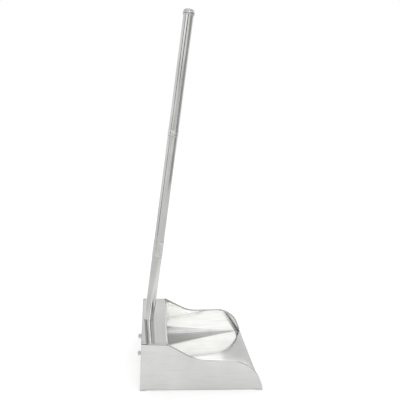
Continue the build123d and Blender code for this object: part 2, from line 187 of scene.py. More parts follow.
class DustpanHandleSizes(bpy.types.PropertyGroup):
    """Sizes of the tube handle, its joints and its cap."""
    tube_radius: length("Tube radius", "Outside radius of the tube", 12.0)
    tube_wall: length("Tube wall", "Wall of the tube", 0.8)
    handle_setback: length("Handle setback", "Back panel to the handle's axis, along the deck", 16.8)
    hole_gap: length("Hole gap", "Round the tube where it passes through the deck", 0.3)
    sleeve_length: length("Sleeve length", "Sleeve over the lower joint", 41.0)
    ring_length: length("Ring length", "Ring over the upper joint", 14.0)
    collar_wall: length("Collar wall", "Thickness of the sleeve and the ring", 0.4)
    bead_height: length("Bead height", "Rolled bead on the sleeve and the ring", 0.4)
    bead_width: length("Bead width", "Width of a bead", 4.0)
    bead_inset: length("Bead inset", "Foot of the sleeve to the middle of its lower bead", 6.0)
    bead_pitch: length("Bead pitch", "Between the sleeve's two beads", 31.5)
    running_gap: length("Running gap", "Between pieces that turn on each other", 0.05)
    press_gap: length("Press gap", "Round a piece that is pressed into another", 0.02)
    round_below: length("Round below", "Round stretch of tube below the deck", 8.0)
    tang_top: length("Tang top", "Top of the flattened tube end, up the back panel", 80.0)
    tang_bottom: length("Tang bottom", "Foot of the flattened tube end", 10.0)
    tang_round: length("Tang round", "Corners of the flattened end", 8.0)
    end_round: length("End round", "Rounding of the tubes' cut ends", 0.25)
    stud_radius: length("Stud radius", "Crest radius of the threaded stud", 6.0)
    stud_reach: length("Stud reach", "Stud below the joint", 24.0)
    stud_hold: length("Stud hold", "Stud above the joint", 24.0)
    stud_room: length("Stud room", "Free depth below the stud in its socket", 4.0)
    stud_chamfer: length("Stud chamfer", "Chamfer of the stud's ends", 1.0)
    thread_pitch: length("Thread pitch", "Rise of the thread in one turn", 4.0)
    thread_depth: length("Thread depth", "Crest to root of the thread", 0.9)
    bush_rim: length("Bush rim", "Rim of the socket bush on the tube's end", 2.0)
    bush_web: length("Bush web", "Closed end of a bush", 2.0)
    cap_wall: length("Cap wall", "Thickness of the cap's skirt round the tube", 1.6)
    cap_skirt: length("Cap skirt", "Foot of the cap to the edge of its dome", 11.5)
    cap_round: length("Cap round", "Rounding at the skirt's foot", 1.4)
    groove_width: length("Groove width", "Groove round the cap's skirt", 3.8)
    groove_depth: length("Groove depth", "Depth of that groove", 0.3)
    cap_top: length("Cap top", "The tube ends this far below the dome", 2.0)
    dome_rise: length("Dome rise", "Height of the cap's dome", 3.3)
    cap_shoulder: length("Cap shoulder", "Rounding where the dome meets the skirt", 8.0)
    handle_reach: length("Handle reach", "Deck to the top of the cap, along the handle", 751.0)
    stem_length: length("Stem length", "Stem of the cap in the tube", 15.0)
    stem_wall: length("Stem wall", "Wall of the cap's stem", 2.0)


class DustpanFastenerSizes(bpy.types.PropertyGroup):
    """Sizes of the two bolts that hold the tube to the back panel."""
    bolt_radius: length("Bolt radius", "Radius of the bolt", 3.0)
    bolt_gap: length("Bolt gap", "Round a bolt in its hole", 0.2)
    bolt_low: length("Lower bolt", "Lower bolt, up the back panel", 23.0)
    bolt_pitch: length("Bolt pitch", "Between the two bolts", 47.0)
    bolt_tail: length("Bolt tail", "Bolt beyond its nut", 1.2)
    bolt_chamfer: length("Bolt chamfer", "Chamfer of the bolt's end", 0.6)
    bolt_thread: length("Bolt thread", "Pitch of the bolt's thread", 1.0)
    bolt_depth: length("Bolt depth", "Crest to root of the bolt's thread", 0.4)
    head_radius: length("Head radius", "Radius of the bolt's round head", 5.75)
    head_height: length("Head height", "Height of the bolt's head", 4.0)
    head_round: length("Head round", "Rounding of the head", 2.2)
    recess_length: length("Recess length", "Length of the cross recess", 6.0)
    recess_width: length("Recess width", "Width of the cross recess", 1.4)
    recess_depth: length("Recess depth", "Depth of the cross recess", 2.0)
    washer_radius: length("Washer radius", "Radius of the flat washer", 6.25)
    washer_thickness: length("Washer thickness", "Thickness of the flat washer", 1.2)
    spring_radius: length("Spring radius", "Radius of the spring washer", 5.3)
    spring_thickness: length("Spring thickness", "Thickness of the spring washer", 1.6)
    spring_split: length("Spring split", "Gap in the spring washer", 1.0)
    nut_flats: length("Nut flats", "Across the flats of the nut", 10.0)
    nut_height: length("Nut height", "Height of the nut", 5.0)
    nut_bevel: angle("Nut bevel", "Slope of the nut's outer corners", 30.0)


class DustpanFinish(bpy.types.PropertyGroup):
    """Colours of the finishes."""
    sheet_light: colour("Sheet, light", "Bright annealed sheet", "#D3D3D2")
    sheet_dark: colour("Sheet, dark", "Same sheet where it is handled", "#CACAC8")
    sheet_hair: colour("Sheet, hairs", "Rolling lines in the sheet", "#BEBEBC")
    # painted shade: darkens the foot of the walls and back panel, in place of the ground contact that their
    # folds mirror
    sheet_foot_shade: colour("Sheet, scuffed", "Foot of the walls, painted shade of the ground contact", "#9C9C9A")
    tube_light: colour("Tube, light", "Polished tube", "#D0D0CF")
    tube_dark: colour("Tube, dark", "Same tube, duller", "#C4C4C2")
    collar_light: colour("Collar", "Rolled collar", "#D4D4D2")
    collar_dark: colour("Collar, dark", "Same collar, duller", "#C6C6C4")
    nylon: colour("Nylon", "Moulded bush", "#C9C8C2")
    nylon_dark: colour("Nylon, dark", "Same bush, mottled", "#BDBCB5")
    thread: colour("Thread", "Rolled thread", "#B2B1AE")
    thread_dark: colour("Thread, dark", "Oil in the thread's roots", "#7E7C78")
    zinc: colour("Zinc", "Bright zinc plate", "#DCDDDD")
    zinc_dark: colour("Zinc, dark", "Same plate, dulled", "#CBCDCE")
    cap: colour("Cap", "Bright plating", "#D6D6D6")
    cap_dark: colour("Cap, dark", "Same plating, rubbed", "#C9C9C9")
    # painted shade: the colour of the band in the cap's groove, which stands for shade there
    cap_groove_shade: colour("Cap, groove shade", "Painted shade in the groove", "#8C8C8A")
    floor: colour("Floor", "Plain pale floor", "#F2F2F2")


class DustpanStage(bpy.types.PropertyGroup):
    """Camera and light."""
    camera_side: length("Camera side", "Camera to the middle plane, on the left", 1137.2)
    camera_ahead: length("Camera ahead", "Camera in front of the back panel's foot", 38.2)
    camera_height: length("Camera height", "Camera above the ground", 639.9)
    camera_yaw: angle("Camera yaw", "Turn towards the mouth", 4.638)
    camera_pitch: angle("Camera pitch", "Downward tilt", 10.751)
    focal_length: amount("Focal length", "Millimetres on a 36 mm sensor", 43.05)
    shift_x: amount("Shift X", "Sideways shift of the picture", 0.0212)
    shift_y: amount("Shift Y", "Upward shift of the picture", -0.003)
    world_level: amount("World level", "White of the surround near the ground", 1.0)
    ceiling_level: amount("Ceiling level", "Grey of the surround where it is darkest", 0.62)
    ceiling_start: angle("Ceiling start", "Height at which the surround starts to darken", 15.0)
    ceiling_end: angle("Ceiling end", "Height at which it is darkest", 46.0)
    top_level: amount("Top level", "White of the surround overhead", 0.95)
    top_start: angle("Top start", "Height at which the surround starts to lighten again", 52.0)
    top_end: angle("Top end", "Height from which it is even", 70.0)
    key_level: amount("Key level", "White of the soft box on the camera's side", 1.5)
    key_width: length("Key width", "Width of the soft box", 2810.0)
    key_height: length("Key height", "Height of the soft box", 2720.0)
    key_distance: length("Key distance", "Soft box to the middle of the pan", 10000.0)
    key_azimuth: angle("Key azimuth", "Soft box towards the mouth from straight left", 12.0)
    key_elevation: angle("Key elevation", "Soft box above the ground", 25.25)
    side_level: amount("Side level", "White of the wide soft box beside it", 0.5)
    side_width: length("Side width", "Width of the wide soft box", 9300.0)
    side_azimuth: angle("Side azimuth", "Wide soft box towards the mouth from straight left", -21.0)
    kick_level: amount("Kick level", "White of the small soft box beyond the mouth", 4.6)
    fill_level: amount("Fill level", "White of the small soft box beyond the pan", 1.1)
    floor_reach: length("Floor reach", "Middle of the floor to its edges", 6000.0)
    floor_glow: amount("Floor glow", "Share of the floor's white that needs no light", 0.37)
    pool_start: length("Pool start", "Distance at which that share starts to fade in the metal", 320.0)
    pool_end: length("Pool end", "Distance from which it is even", 740.0)
    pool_rest: amount("Pool rest", "What is left of it there", 0.3)


# Meshes

def grid_faces(rows, columns, closed=False):
    """Corner numbers of the quads of a grid of points. A closed grid joins its last column to its first."""
    number = np.arange(rows * columns).reshape(rows, columns)
    beside = np.roll(number, -1, axis=1)
    quads = np.stack([number[:-1], beside[:-1], beside[1:], number[1:]], axis=-1)
    return quads if closed else quads[:, :-1]


def make_mesh(name, surfaces, flip=False, closed=False):
    """A mesh object from surfaces, which are pairs of points and quads.

    Points that no quad needs are left out, and points that meet are merged."""
    starts = np.cumsum([0] + [points[..., 0].size for points, _ in surfaces])
    points = np.concatenate([points.reshape(-1, 3) for points, _ in surfaces])
    quads = np.concatenate([faces.reshape(-1, 4) + start for (_, faces), start in zip(surfaces, starts)])
    needed, corners = np.unique(quads[:, ::-1] if flip else quads, return_inverse=True)
    mesh = bpy.data.meshes.new(name)
    mesh.from_pydata(points[needed].tolist(), [], corners.reshape(-1, 4).tolist())
    work = bmesh.new()
    work.from_mesh(mesh)
    bmesh.ops.remove_doubles(work, verts=work.verts, dist=MERGE_DISTANCE)
    if closed:
        bmesh.ops.recalc_face_normals(work, faces=work.faces)
    work.to_mesh(mesh)
    work.free()
    mesh.polygons.foreach_set("use_smooth", np.ones(len(mesh.polygons), bool))
    piece = bpy.data.objects.new(name, mesh)
    bpy.context.scene.collection.objects.link(piece)
    return piece


def settle(piece, body, slot, material, *nodes):
    """Gives a piece its material and its body, and hides the nodes that it stands for. The slot is not used.
    """
    piece.data.materials.append(material)
    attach(piece, body)
    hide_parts(*nodes)
    return piece


def sheet_piece(name, surfaces, sizes, material, node, flip=True):
    """A folded sheet of the pan: its outside gets a thickness inwards, rounded cut edges and even flats."""
    piece = make_mesh(name, surfaces, flip=flip)
    wall = piece.modifiers.new("sheet", "SOLIDIFY")
    wall.thickness = sizes.sheet
    wall.offset = -1.0
    wall.use_even_offset = True
    edge = piece.modifiers.new("edge", "BEVEL")
    edge.width = sizes.edge_bevel
    edge.segments = 2
    edge.limit_method = "ANGLE"
    edge.angle_limit = SHEET_CREASE
    smooth = piece.modifiers.new("flats", "WEIGHTED_NORMAL")
    smooth.keep_sharp = False
    smooth.weight = 100
    return settle(piece, "pan", "polished_stainless_sheet", material, node)


def closed_piece(name, surfaces, crease, *settled):
    """A piece of closed surfaces, settled, with sharp edges where faces meet at more than the crease."""
    piece = make_mesh(name, surfaces, closed=True)
    piece.data.set_sharp_from_angle(angle=crease)
    return settle(piece, *settled)


def smoothstep(share):
    """Goes from 0 to 1 as the share does, level at both ends: 3 t^2 - 2 t^3."""
    return share ** 2 * (3 - 2 * share)


def bent(run, radius, turn):
    """A sheet past the start of a bend: for a distance along it, how far it goes on and how far aside.

    On the arc these are R sin(a) and R (1 - cos(a)), with a the distance over R, and past the full turn the
    sheet goes straight along the tangent."""
    part = np.clip(run / radius, 0, turn)
    rest = np.maximum(run - radius * turn, 0)
    ahead = radius * np.sin(part) + rest * cos(turn)
    aside = radius * (1 - np.cos(part)) + rest * sin(turn)
    return ahead, aside


def runs_through(radius, turn, straight, steps=8):
    """Distances along a bend and the straight flange after it."""
    curve = np.linspace(0, radius * turn, steps)
    return np.concatenate([curve, curve[-1] + np.array([0.5, 1.0]) * straight])


def rounded_line(position, corners, radii):
    """Height of a line that goes straight from corner to corner, with tangent circles at the corners.

    Between tangent points the height is the circle's, c -/+ sqrt(R^2 - (x - cx)^2), else the run's."""
    corners = np.array(corners)
    height = np.interp(position, *corners.T)
    runs = np.diff(corners, axis=0)
    slopes = np.arctan2(runs[:, 1], runs[:, 0])
    headings = np.stack([np.cos(slopes), np.sin(slopes)], axis=-1)
    for number, radius in enumerate(radii):
        corner, before, after = corners[number + 1], headings[number], headings[number + 1]
        turn = slopes[number + 1] - slopes[number]
        side = np.sign(turn)
        reach = radius * tan(abs(turn) / 2)
        start, end = corner - reach * before, corner + reach * after
        middle = start + radius * side * np.array([-before[1], before[0]])
        room = np.maximum(radius ** 2 - (position - middle[0]) ** 2, 0)
        circle = middle[1] - side * np.sqrt(room)
        height = np.where((position > start[0]) & (position < end[0]), circle, height)
    return height


def stations(low, high, count, marks):
    """Evenly spaced places from low to high, with the marks among them and none beside a mark."""
    even = np.linspace(low, high, count)
    marks = np.array([low, high, *marks])
    apart = np.abs(even[:, None] - marks).min(axis=1) > CLEAR_OF_MARK * (high - low) / count
    return np.unique(np.concatenate([even[apart], marks]))


def within(values, low, high):
    """Which values lie between two marks, the marks included."""
    return (values >= low - SLACK) & (values <= high + SLACK)


def middles(values):
    """Midpoints between neighbours."""
    return (values[1:] + values[:-1]) / 2


# Lines of the pan

def pan_lines(pan):
    """What follows from the pan's sizes: angles, planes and ends of folds, from the back panel's foot."""
    lean = pan.back_lean
    rise = (pan.mouth_width - pan.rear_width) / 2 / pan.pan_length
    taper = atan2(rise, 1)
    rear_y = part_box("left_side_wall")[1].y
    foot = np.array([0, rear_y, 0])
    up = np.array([0, -sin(lean), cos(lean)])
    return SimpleNamespace(
        lean=lean, rise=rise, taper=taper, rear_y=rear_y, foot=foot, up=up,
        out=np.array([0, cos(lean), sin(lean)]), deck_origin=foot + up * (pan.back_height / cos(lean)),
        deck_front=pan.back_height * tan(lean) + pan.deck_depth * cos(lean),
        deck_front_height=pan.back_height - pan.deck_depth * sin(lean),
        wall_top=pan.back_height - pan.deck_shoulder, floor_top=2 * pan.sheet,
        crease=pan.pan_length - pan.lip_depth,
        fold=pan.sheet + pan.bend, notch=pan.sheet + pan.bend + pan.relief,
        seam_start=(pan.sheet + pan.flange + 2 * pan.relief) / cos(taper),
        seam_end=(pan.pan_length - pan.lip_depth - 2 * pan.relief) / cos(taper),
    )


def lining(line, pan, distance):
    """Half of the width between the walls at a distance in front of the back panel's foot."""
    return pan.rear_width / 2 + distance * line.rise - (pan.sheet + pan.seam) / cos(line.taper)


# Pan

def wall_surface(pan, line):
    """Outside of the right wall: rows up the sheet, columns along it.

    A column joins a place on the ground line to one on the top edge. Its rows go round the fold of the bottom
    flange, straight up the wall, out by a smoothstep to the roll, and round the roll's circle. The flange and
    the roll are only where the fold and the roll run."""
    slant = cos(line.taper)
    long = pan.pan_length / slant
    top_start = line.wall_top * tan(line.lean) / slant
    corners = [
        (top_start, line.wall_top),
        (line.deck_front / slant, line.deck_front_height - pan.deck_shoulder),
        (pan.dip_distance / slant, pan.dip_height),
        (pan.brow_distance / slant, pan.brow_height),
        (long, 0),
    ]
    radii = [DECK_CORNER, pan.dip_radius, pan.brow_radius]
    roll_start = corners[1][0]
    roll_end = long - (long - corners[3][0]) * pan.curl_end_height / pan.brow_height
    stretch = (long - top_start) / long
    notches = [line.seam_start - pan.relief, line.seam_start, line.seam_end, line.seam_end + pan.relief]
    roll_marks = [(roll_start - top_start) / stretch, (roll_end - top_start) / stretch]
    low = stations(0, long, WALL_COLUMNS, notches + roll_marks)
    top = top_start + low * stretch
    edge = np.maximum(rounded_line(top, corners, radii), 0)
    edge[-1] = 0
    before, after = np.maximum(top - SLOPE_STEP, top_start), np.minimum(top + SLOPE_STEP, long)
    slope = (rounded_line(after, corners, radii) - rounded_line(before, corners, radii)) / (after - before)
    normal_s, normal_z = np.stack([-slope, np.ones_like(slope)]) / np.sqrt(1 + slope ** 2)
    rolled = within(top, roll_start, roll_end)
    folded = within(low, line.seam_start, line.seam_end)
    low_fold, low_notch, inset = (np.minimum(most, share * edge) for most, share in (
        (line.fold, FOLD_SHARE), (line.notch, NOTCH_SHARE), (pan.edge_blend, BLEND_SHARE),
    ))

    run = runs_through(line.fold, pi / 2, pan.flange - line.fold)[::-1, None]
    down, fold_in = bent(run, line.fold, pi / 2)
    fold_z = np.where(folded, line.fold - down, low_fold * (1 - run / run.max()))
    fold = low, fold_z, np.where(folded, fold_in, 0)
    share = np.linspace(0, 1, 6)[:, None]
    inner_s, inner_z = top - inset * normal_s, edge - inset * normal_z
    flat = low + share * (inner_s - low), low_notch + share * (inner_z - low_notch), 0
    share = np.linspace(0, 1, 7)[1:, None]
    away = inset * (share - 1)
    proud = np.where(rolled, -pan.curl_proud * smoothstep(share), 0)
    lead = top + away * normal_s, edge + away * normal_z, proud
    turn = np.linspace(0, pan.curl_turn, 18)[1:, None]
    away = pan.curl * np.sin(turn)
    roll = top + away * normal_s, edge + away * normal_z, pan.curl - pan.curl_proud - pan.curl * np.cos(turn)
    strips = [np.broadcast_arrays(*strip) for strip in (fold, flat, lead, roll)]
    along, height, inward = (np.concatenate(parts) for parts in zip(*strips))
    points = np.stack([
        pan.rear_width / 2 + along * sin(line.taper) - inward * slant,
        line.rear_y - along * slant - inward * sin(line.taper),
        height,
    ], axis=-1)
    keep = np.ones((len(height) - 1, len(low) - 1), bool)
    place = middles(low)
    keep[:len(run)] &= ~(within(place, *notches[:2]) | within(place, *notches[2:]))
    keep[-len(turn):] &= rolled[1:] & rolled[:-1]
    return points, grid_faces(*points.shape[:2])[keep]


def floor_surface(pan, line):
    """Underside of the floor: rows from one turned-up side across to the other, columns from back to lip.

    The plate is level up to the crease and falls to the ground at the lip. A strip along each side rises to
    the wall and runs out towards the lip. The sides turn up by a quarter circle and a straight strip where
    the fold runs, and lie flat beyond its ends."""
    rear = pan.sheet / cos(line.lean) + line.floor_top * tan(line.lean) + pan.seam
    fold_start = (line.seam_start - pan.relief / 2) * cos(line.taper)
    fold_end = (line.seam_end + pan.relief / 2) * cos(line.taper)
    notches = [fold_start - pan.relief, fold_start, fold_end, fold_end + pan.relief]
    crease = line.crease + pan.crease_radius * CREASE_REACH * np.linspace(-1, 1, 9)
    marks = [*notches, *crease, pan.pan_length - pan.lip_bevel]
    distance = stations(rear, pan.pan_length, FLOOR_COLUMNS, marks)
    corners = [(rear, pan.sheet), (line.crease, pan.sheet), (pan.pan_length, 0)]
    level = rounded_line(distance, corners, [pan.crease_radius])
    half = lining(line, pan, distance)
    folded = within(distance, fold_start, fold_end)
    run = runs_through(pan.bend, pi / 2, pan.floor_upstand - pan.bend)[:, None]
    out, rise = bent(run, pan.bend, pi / 2)
    behind = np.clip((fold_end - distance) / (fold_end - line.deck_front), 0, None)
    margin = pan.margin_width * behind + LEAST_MARGIN
    steep = MARGIN_START + (1 - MARGIN_START) * np.minimum(behind, 1)
    climb = margin * np.tan(pan.margin_slope * steep)
    side_x = half - pan.bend + np.where(folded, out, pan.bend * run / run.max())
    side_z = level + climb + np.where(folded, rise, 0)
    share = np.linspace(0, 1, 9)[:, None]
    edge_x = half - line.fold - margin * (1 - share)
    edge_z = level + climb * share
    share = np.linspace(-1, 1, 25)[1:-1, None]
    flat_x, flat_z = share * edge_x[0], level + 0 * share
    across = np.concatenate([-side_x[::-1], -edge_x[::-1], flat_x, edge_x, side_x])
    height = np.concatenate([side_z[::-1], edge_z[::-1], flat_z, edge_z, side_z])
    points = np.stack([across, np.broadcast_to(line.rear_y - distance, across.shape), height], axis=-1)
    keep = np.ones((len(across) - 1, len(distance) - 1), bool)
    place = middles(distance)
    in_notch = within(place, *notches[:2]) | within(place, *notches[2:])
    keep[:len(run)] &= ~in_notch
    keep[-len(run):] &= ~in_notch
    return points, grid_faces(*points.shape[:2])[keep]


def back_surface(pan, line):
    """Outside of the back panel: rows up the panel from the flange under the floor, columns from hem to hem.

    The hems turn forwards until they lie along the walls, so they turn by a right angle less the taper. The
    foot turns forwards by a right angle and the lean, so its flange lies on the ground."""
    foot_radius = pan.sheet
    foot_turn = pi / 2 + line.lean
    foot_start = foot_radius * (1 + sin(line.lean)) / cos(line.lean)
    foot_run = runs_through(foot_radius, foot_turn, pan.flange - foot_radius)[::-1]
    hem_low, hem_high = line.floor_top + pan.relief, line.wall_top - pan.sheet - pan.relief
    marks = np.array([line.floor_top, hem_low, hem_high, hem_high + pan.relief]) / cos(line.lean)
    up = stations(foot_start, line.wall_top / cos(line.lean), BACK_ROWS, marks)[1:]
    foot_down, foot_in = bent(foot_run, foot_radius, foot_turn)
    rise = np.concatenate([foot_start - foot_down, up])[:, None]
    foot_ahead = np.concatenate([foot_in, 0 * up])[:, None]
    half = lining(line, pan, np.maximum(rise, 0) * sin(line.lean) + foot_ahead)
    turn = pi / 2 - line.taper
    flat = half - line.fold * (cos(line.taper) - (1 - sin(line.taper)) * tan(line.taper))
    run = runs_through(line.fold, turn, pan.flange / cos(line.taper) - line.fold * tan(turn / 2))
    ahead, aside = bent(run, line.fold, turn)
    folded = within(rise, *marks[1:3])
    side_x = flat + np.where(folded, ahead, (half - flat) * run / run.max())
    side_y = np.where(folded, aside, 0)
    flat_x = np.linspace(-1, 1, 31) * (half - 2 * line.fold)
    across = np.concatenate([-side_x[:, ::-1], flat_x, side_x], axis=1)[..., None]
    forward = np.concatenate([side_y[:, ::-1], 0 * flat_x, side_y], axis=1) + foot_ahead
    points = line.foot + across * X_AXIS + rise[..., None] * line.up - forward[..., None] * line.out
    keep = np.ones((points.shape[0] - 1, points.shape[1] - 1), bool)
    place = middles(rise)
    in_notch = within(place, *marks[:2]) | within(place, *marks[2:])
    keep[:, :len(run)] &= ~in_notch
    keep[:, -len(run):] &= ~in_notch
    return points, grid_faces(*points.shape[:2])[keep]


def deck_surface(pan, handle, line):
    """Top of the deck: rows from the back apron to the front one, columns from cheek to cheek, and a hole.

    Aprons and cheeks turn down by a quarter circle and a straight strip, and the corners between them lie
    flat. Round the hole, lines go from each point on the rim to the point in the same direction on a square
    of the grid."""
    behind = pan.back_height * tan(line.lean)
    near, far = pan.sheet + pan.seam + line.fold, pan.deck_depth - line.fold
    patch = handle.handle_setback - near
    patch_end = handle.handle_setback + patch
    cheek_low, cheek_high = pan.flange + 2 * pan.relief, pan.deck_depth - 2 * pan.relief
    rear_mark, front_mark = pan.sheet + pan.seam + line.notch, pan.deck_depth - line.notch
    run = runs_through(line.fold, pi / 2, pan.flange - line.fold, 7)
    ahead, aside = bent(run, line.fold, pi / 2)
    plain = np.linspace(0, line.fold, len(run))
    marks = [rear_mark, front_mark, cheek_low - pan.relief, cheek_low, patch_end]
    level = stations(near, far, DECK_ROWS, marks)
    depth_flat = np.concatenate([near - plain[::-1], level, far + plain])
    depth_bent = np.concatenate([near - ahead[::-1], level, far + ahead])[:, None]
    drop_bent = np.concatenate([aside[::-1], 0 * level, aside])[:, None]
    half = lining(line, pan, behind + depth_flat * cos(line.lean))[:, None]
    apron = lining(line, pan, behind) - 2 * line.fold - pan.relief
    inner = np.concatenate([
        np.linspace(0, patch, 9), np.linspace(patch, apron, 24)[1:], [apron + pan.relief],
    ])
    cheek = within(depth_flat, cheek_low, cheek_high)[:, None]
    side = half - line.fold + np.where(cheek, ahead[1:], plain[1:])
    right = np.concatenate([
        np.broadcast_to(inner, (len(half), len(inner))), half - line.notch, half - line.fold, side,
    ], axis=1)
    across = np.concatenate([-right[:, :0:-1], right], axis=1)
    level_part = np.zeros((len(half), len(inner) + 2))
    side_drop = np.concatenate([level_part, np.where(cheek, aside[1:], 0 * plain[1:])], axis=1)
    side_drop = np.concatenate([side_drop[:, :0:-1], side_drop], axis=1)
    aproned = np.abs(across) < apron + 0.5 * pan.relief
    depth = np.where(aproned, depth_bent, depth_flat[:, None])[..., None]
    drop = (side_drop + np.where(aproned, drop_bent, 0))[..., None]
    points = line.deck_origin + across[..., None] * X_AXIS - depth * line.out - drop * line.up

    centre = len(half) // 2
    row, column = middles(depth_flat)[:, None], middles(np.abs(across[centre]))
    in_slit = within(column, apron, apron + pan.relief) & ((row < rear_mark) | (row > front_mark))
    in_rear_notch = within(row, cheek_low - pan.relief, cheek_low)
    in_front_notch = within(row, cheek_high, cheek_high + pan.relief)
    in_notch = (in_rear_notch | in_front_notch) & (column > half[centre, 0] - line.notch)
    in_patch = (column < patch) & within(row, near, patch_end)
    faces = grid_faces(*points.shape[:2])[~(in_slit | in_notch | in_patch)]

    count = len(run)
    rows = np.flatnonzero(within(depth_flat, near, patch_end))
    rows = rows[(rows >= count) & (rows < len(half) - count)]
    columns = np.flatnonzero(np.abs(across[count]) <= patch + SLACK)
    rim_rows = np.concatenate([
        np.full(len(columns), rows[0]), rows[1:], np.full(len(columns) - 1, rows[-1]), rows[-2:0:-1],
    ])
    rim_columns = np.concatenate([
        columns, np.full(len(rows) - 1, columns[-1]), columns[-2::-1], np.full(len(rows) - 2, columns[0]),
    ])
    square_x, square_t = across[rim_rows, rim_columns], depth_flat[rim_rows] - handle.handle_setback
    heading = np.arctan2(square_t, square_x)
    hole = handle.tube_radius + handle.hole_gap
    share = np.linspace(1, 0, 4)[:, None]
    ring_x = hole * np.cos(heading) + share * (square_x - hole * np.cos(heading))
    ring_t = hole * np.sin(heading) + share * (square_t - hole * np.sin(heading)) + handle.handle_setback
    collar = line.deck_origin + ring_x[..., None] * X_AXIS - ring_t[..., None] * line.out
    return (points, faces), (collar, grid_faces(*collar.shape[:2], closed=True))


# Round pieces

def angles_round(steps=96):
    """Angles once round, without the last one that would meet the first."""
    return np.linspace(0, 2 * pi, steps, endpoint=False)


def rings_round(foot, axis, radius, height, turn):
    """Rings of points round an axis: each point stands at its radius and height, turned from the X axis."""
    spokes = np.cos(turn)[:, None] * X_AXIS + np.sin(turn)[:, None] * np.cross(axis, X_AXIS)
    return foot + height[..., None] * axis + radius[..., None] * spokes


def turned(profile, foot, axis, segments=128, closed=True):
    """Surface of revolution: each profile point, a radius and a height, goes round the axis in a circle."""
    radius, height = profile.T[..., None]
    points = rings_round(foot, axis, radius, height, angles_round(segments))
    faces = grid_faces(len(profile) + closed, segments, closed=True) % (len(profile) * segments)
    return points, faces


def capped(rings, low, high):
    """Closes a tube of rings with a point at each end."""
    count = rings.shape[1]
    whole = np.concatenate([np.broadcast_to(low, (1, count, 3)), rings, np.broadcast_to(high, (1, count, 3))])
    return whole, grid_faces(len(whole), count, closed=True)


def threaded(radius, depth, pitch, heights, foot, axis, chamfer, segments=72):
    """Screw with closed ends: the radius falls and rises once a pitch, and the pattern turns with height.

    The radius is crest - depth * w, where w is a clipped triangle wave of (height / pitch - angle / 2 pi).
    Towards each end it is held to the chamfer's cone."""
    turn = angles_round(segments)
    phase = np.mod(heights[:, None] / pitch - turn / (2 * pi), 1)
    wave = np.clip(np.abs(phase - 0.5) * THREAD_FLANK - THREAD_CREST, 0, 1)
    room = np.minimum(heights - heights[0], heights[-1] - heights)[:, None]
    radii = np.minimum(radius - depth * wave, radius - np.maximum(chamfer - room, 0))
    rings = rings_round(foot, axis, radii, heights[:, None], turn)
    return capped(rings, foot + axis * heights[0], foot + axis * heights[-1])


def ring_corners(inner, outer, low, high):
    """Corners of a plain ring's section."""
    return [(inner, low), (outer, low), (outer, high), (inner, high)]


def rounded_section(corners, radius, steps=5):
    """Closed outline with each corner c rounded by a quadratic curve, (1-t)^2 a + 2t(1-t) c + t^2 b.

    The curve's ends a and b lie where a circle of the radius would touch, or nearer where a side is short."""
    corners = np.array(corners, float)
    back, on = np.roll(corners, 1, 0) - corners, np.roll(corners, -1, 0) - corners
    room = np.minimum(np.linalg.norm(back, axis=1), np.linalg.norm(on, axis=1))
    back, on = (way / np.linalg.norm(way, axis=1, keepdims=True) for way in (back, on))
    half = np.arccos(np.clip((back * on).sum(1), -1, 1)) / 2
    reach = np.minimum(radius / np.tan(half), MOST_OF_SIDE * room)
    share = np.linspace(0, 1, steps)[None, :, None]
    start, end = ((corners + way * reach[:, None])[:, None] for way in (back, on))
    bow = corners[:, None]
    return ((1 - share) ** 2 * start + 2 * share * (1 - share) * bow + share ** 2 * end).reshape(-1, 2)


def supported(outline, closed=True, near=0.4 * MM, most=30 * MM):
    """Outline with more places on its straight runs: one near each end of a run, and more along a long one.

    They keep the shading of a straight run true up to its rounded ends. Places are found by the length along
    the outline."""
    ring = np.concatenate([outline, outline[:1]]) if closed else outline
    steps = np.linalg.norm(np.diff(ring, axis=0), axis=1)
    along = np.concatenate([[0], np.cumsum(steps)])
    start, end = along[:-1][steps > 4 * near], along[1:][steps > 4 * near]
    share = np.linspace(0, 1, int(steps.max() / most) + 2)[1:-1]
    between = (start + share[:, None] * (end - start))[:, end - start > most]
    places = np.unique(np.concatenate([along, start + near, end - near, between.ravel()]).round(9))
    places = places[:-1] if closed else places
    return np.stack([np.interp(places, along, ring[:, 0]), np.interp(places, along, ring[:, 1])], axis=-1)


def arc(middle, radius, start, end, steps):
    """Places on a circle about its middle, between two angles from the outward direction up."""
    turn = np.linspace(start, end, steps)
    return np.stack([middle[0] + radius * np.cos(turn), middle[1] + radius * np.sin(turn)], axis=-1)


def bead(heights, middle, height, width):
    """Rolled bead: a raised cosine of that height and width about its middle."""
    place = np.clip((heights - middle) / (width / 2), -1, 1)
    return height * 0.5 * (1 + np.cos(pi * place))


# Handle

def handle_lines(handle, line):
    """The handle's axis: foot on the deck, direction, and how far up it the frame's two joints are."""
    joints = {joint["name"]: joint for joint in frame["joints"]}
    up = np.array(joints["middle_unscrew"]["axis"])
    up = up / np.linalg.norm(up)
    foot = line.deck_origin - line.out * handle.handle_setback
    places = (np.array(joints[name]["pos_m"]) for name in ("middle_unscrew", "upper_unscrew"))
    lower, upper = (float(np.dot(place - foot, up)) for place in places)
    return SimpleNamespace(foot=foot, up=up, lower_joint=lower, upper_joint=upper)


def turned_section(corners, radius, spine):
    """Ring on the handle's axis from the corners of its section, which are rounded."""
    return turned(supported(rounded_section(corners, radius)), spine.foot, spine.up)


def collar_profile(handle, low, long, beads):
    """Profile of a collar: a straight inside and an outside with beads, and rounded ends."""
    inside = handle.tube_radius + handle.running_gap
    outside = inside + handle.collar_wall
    start, end, corner = low + handle.running_gap, low + long, handle.end_round
    heights = np.linspace(start + corner, end - corner, 160)
    rise, width = handle.bead_height, handle.bead_width * BEAD_SPREAD
    swell = sum(bead(heights, low + place, rise, width) for place in beads)
    return np.concatenate([
        [(inside, start)],
        arc((outside - corner, start + corner), corner, -pi / 2, 0, 5),
        np.stack([outside + swell, heights], axis=-1),
        arc((outside - corner, end - corner), corner, 0, pi / 2, 5),
        [(inside, end)],
    ])


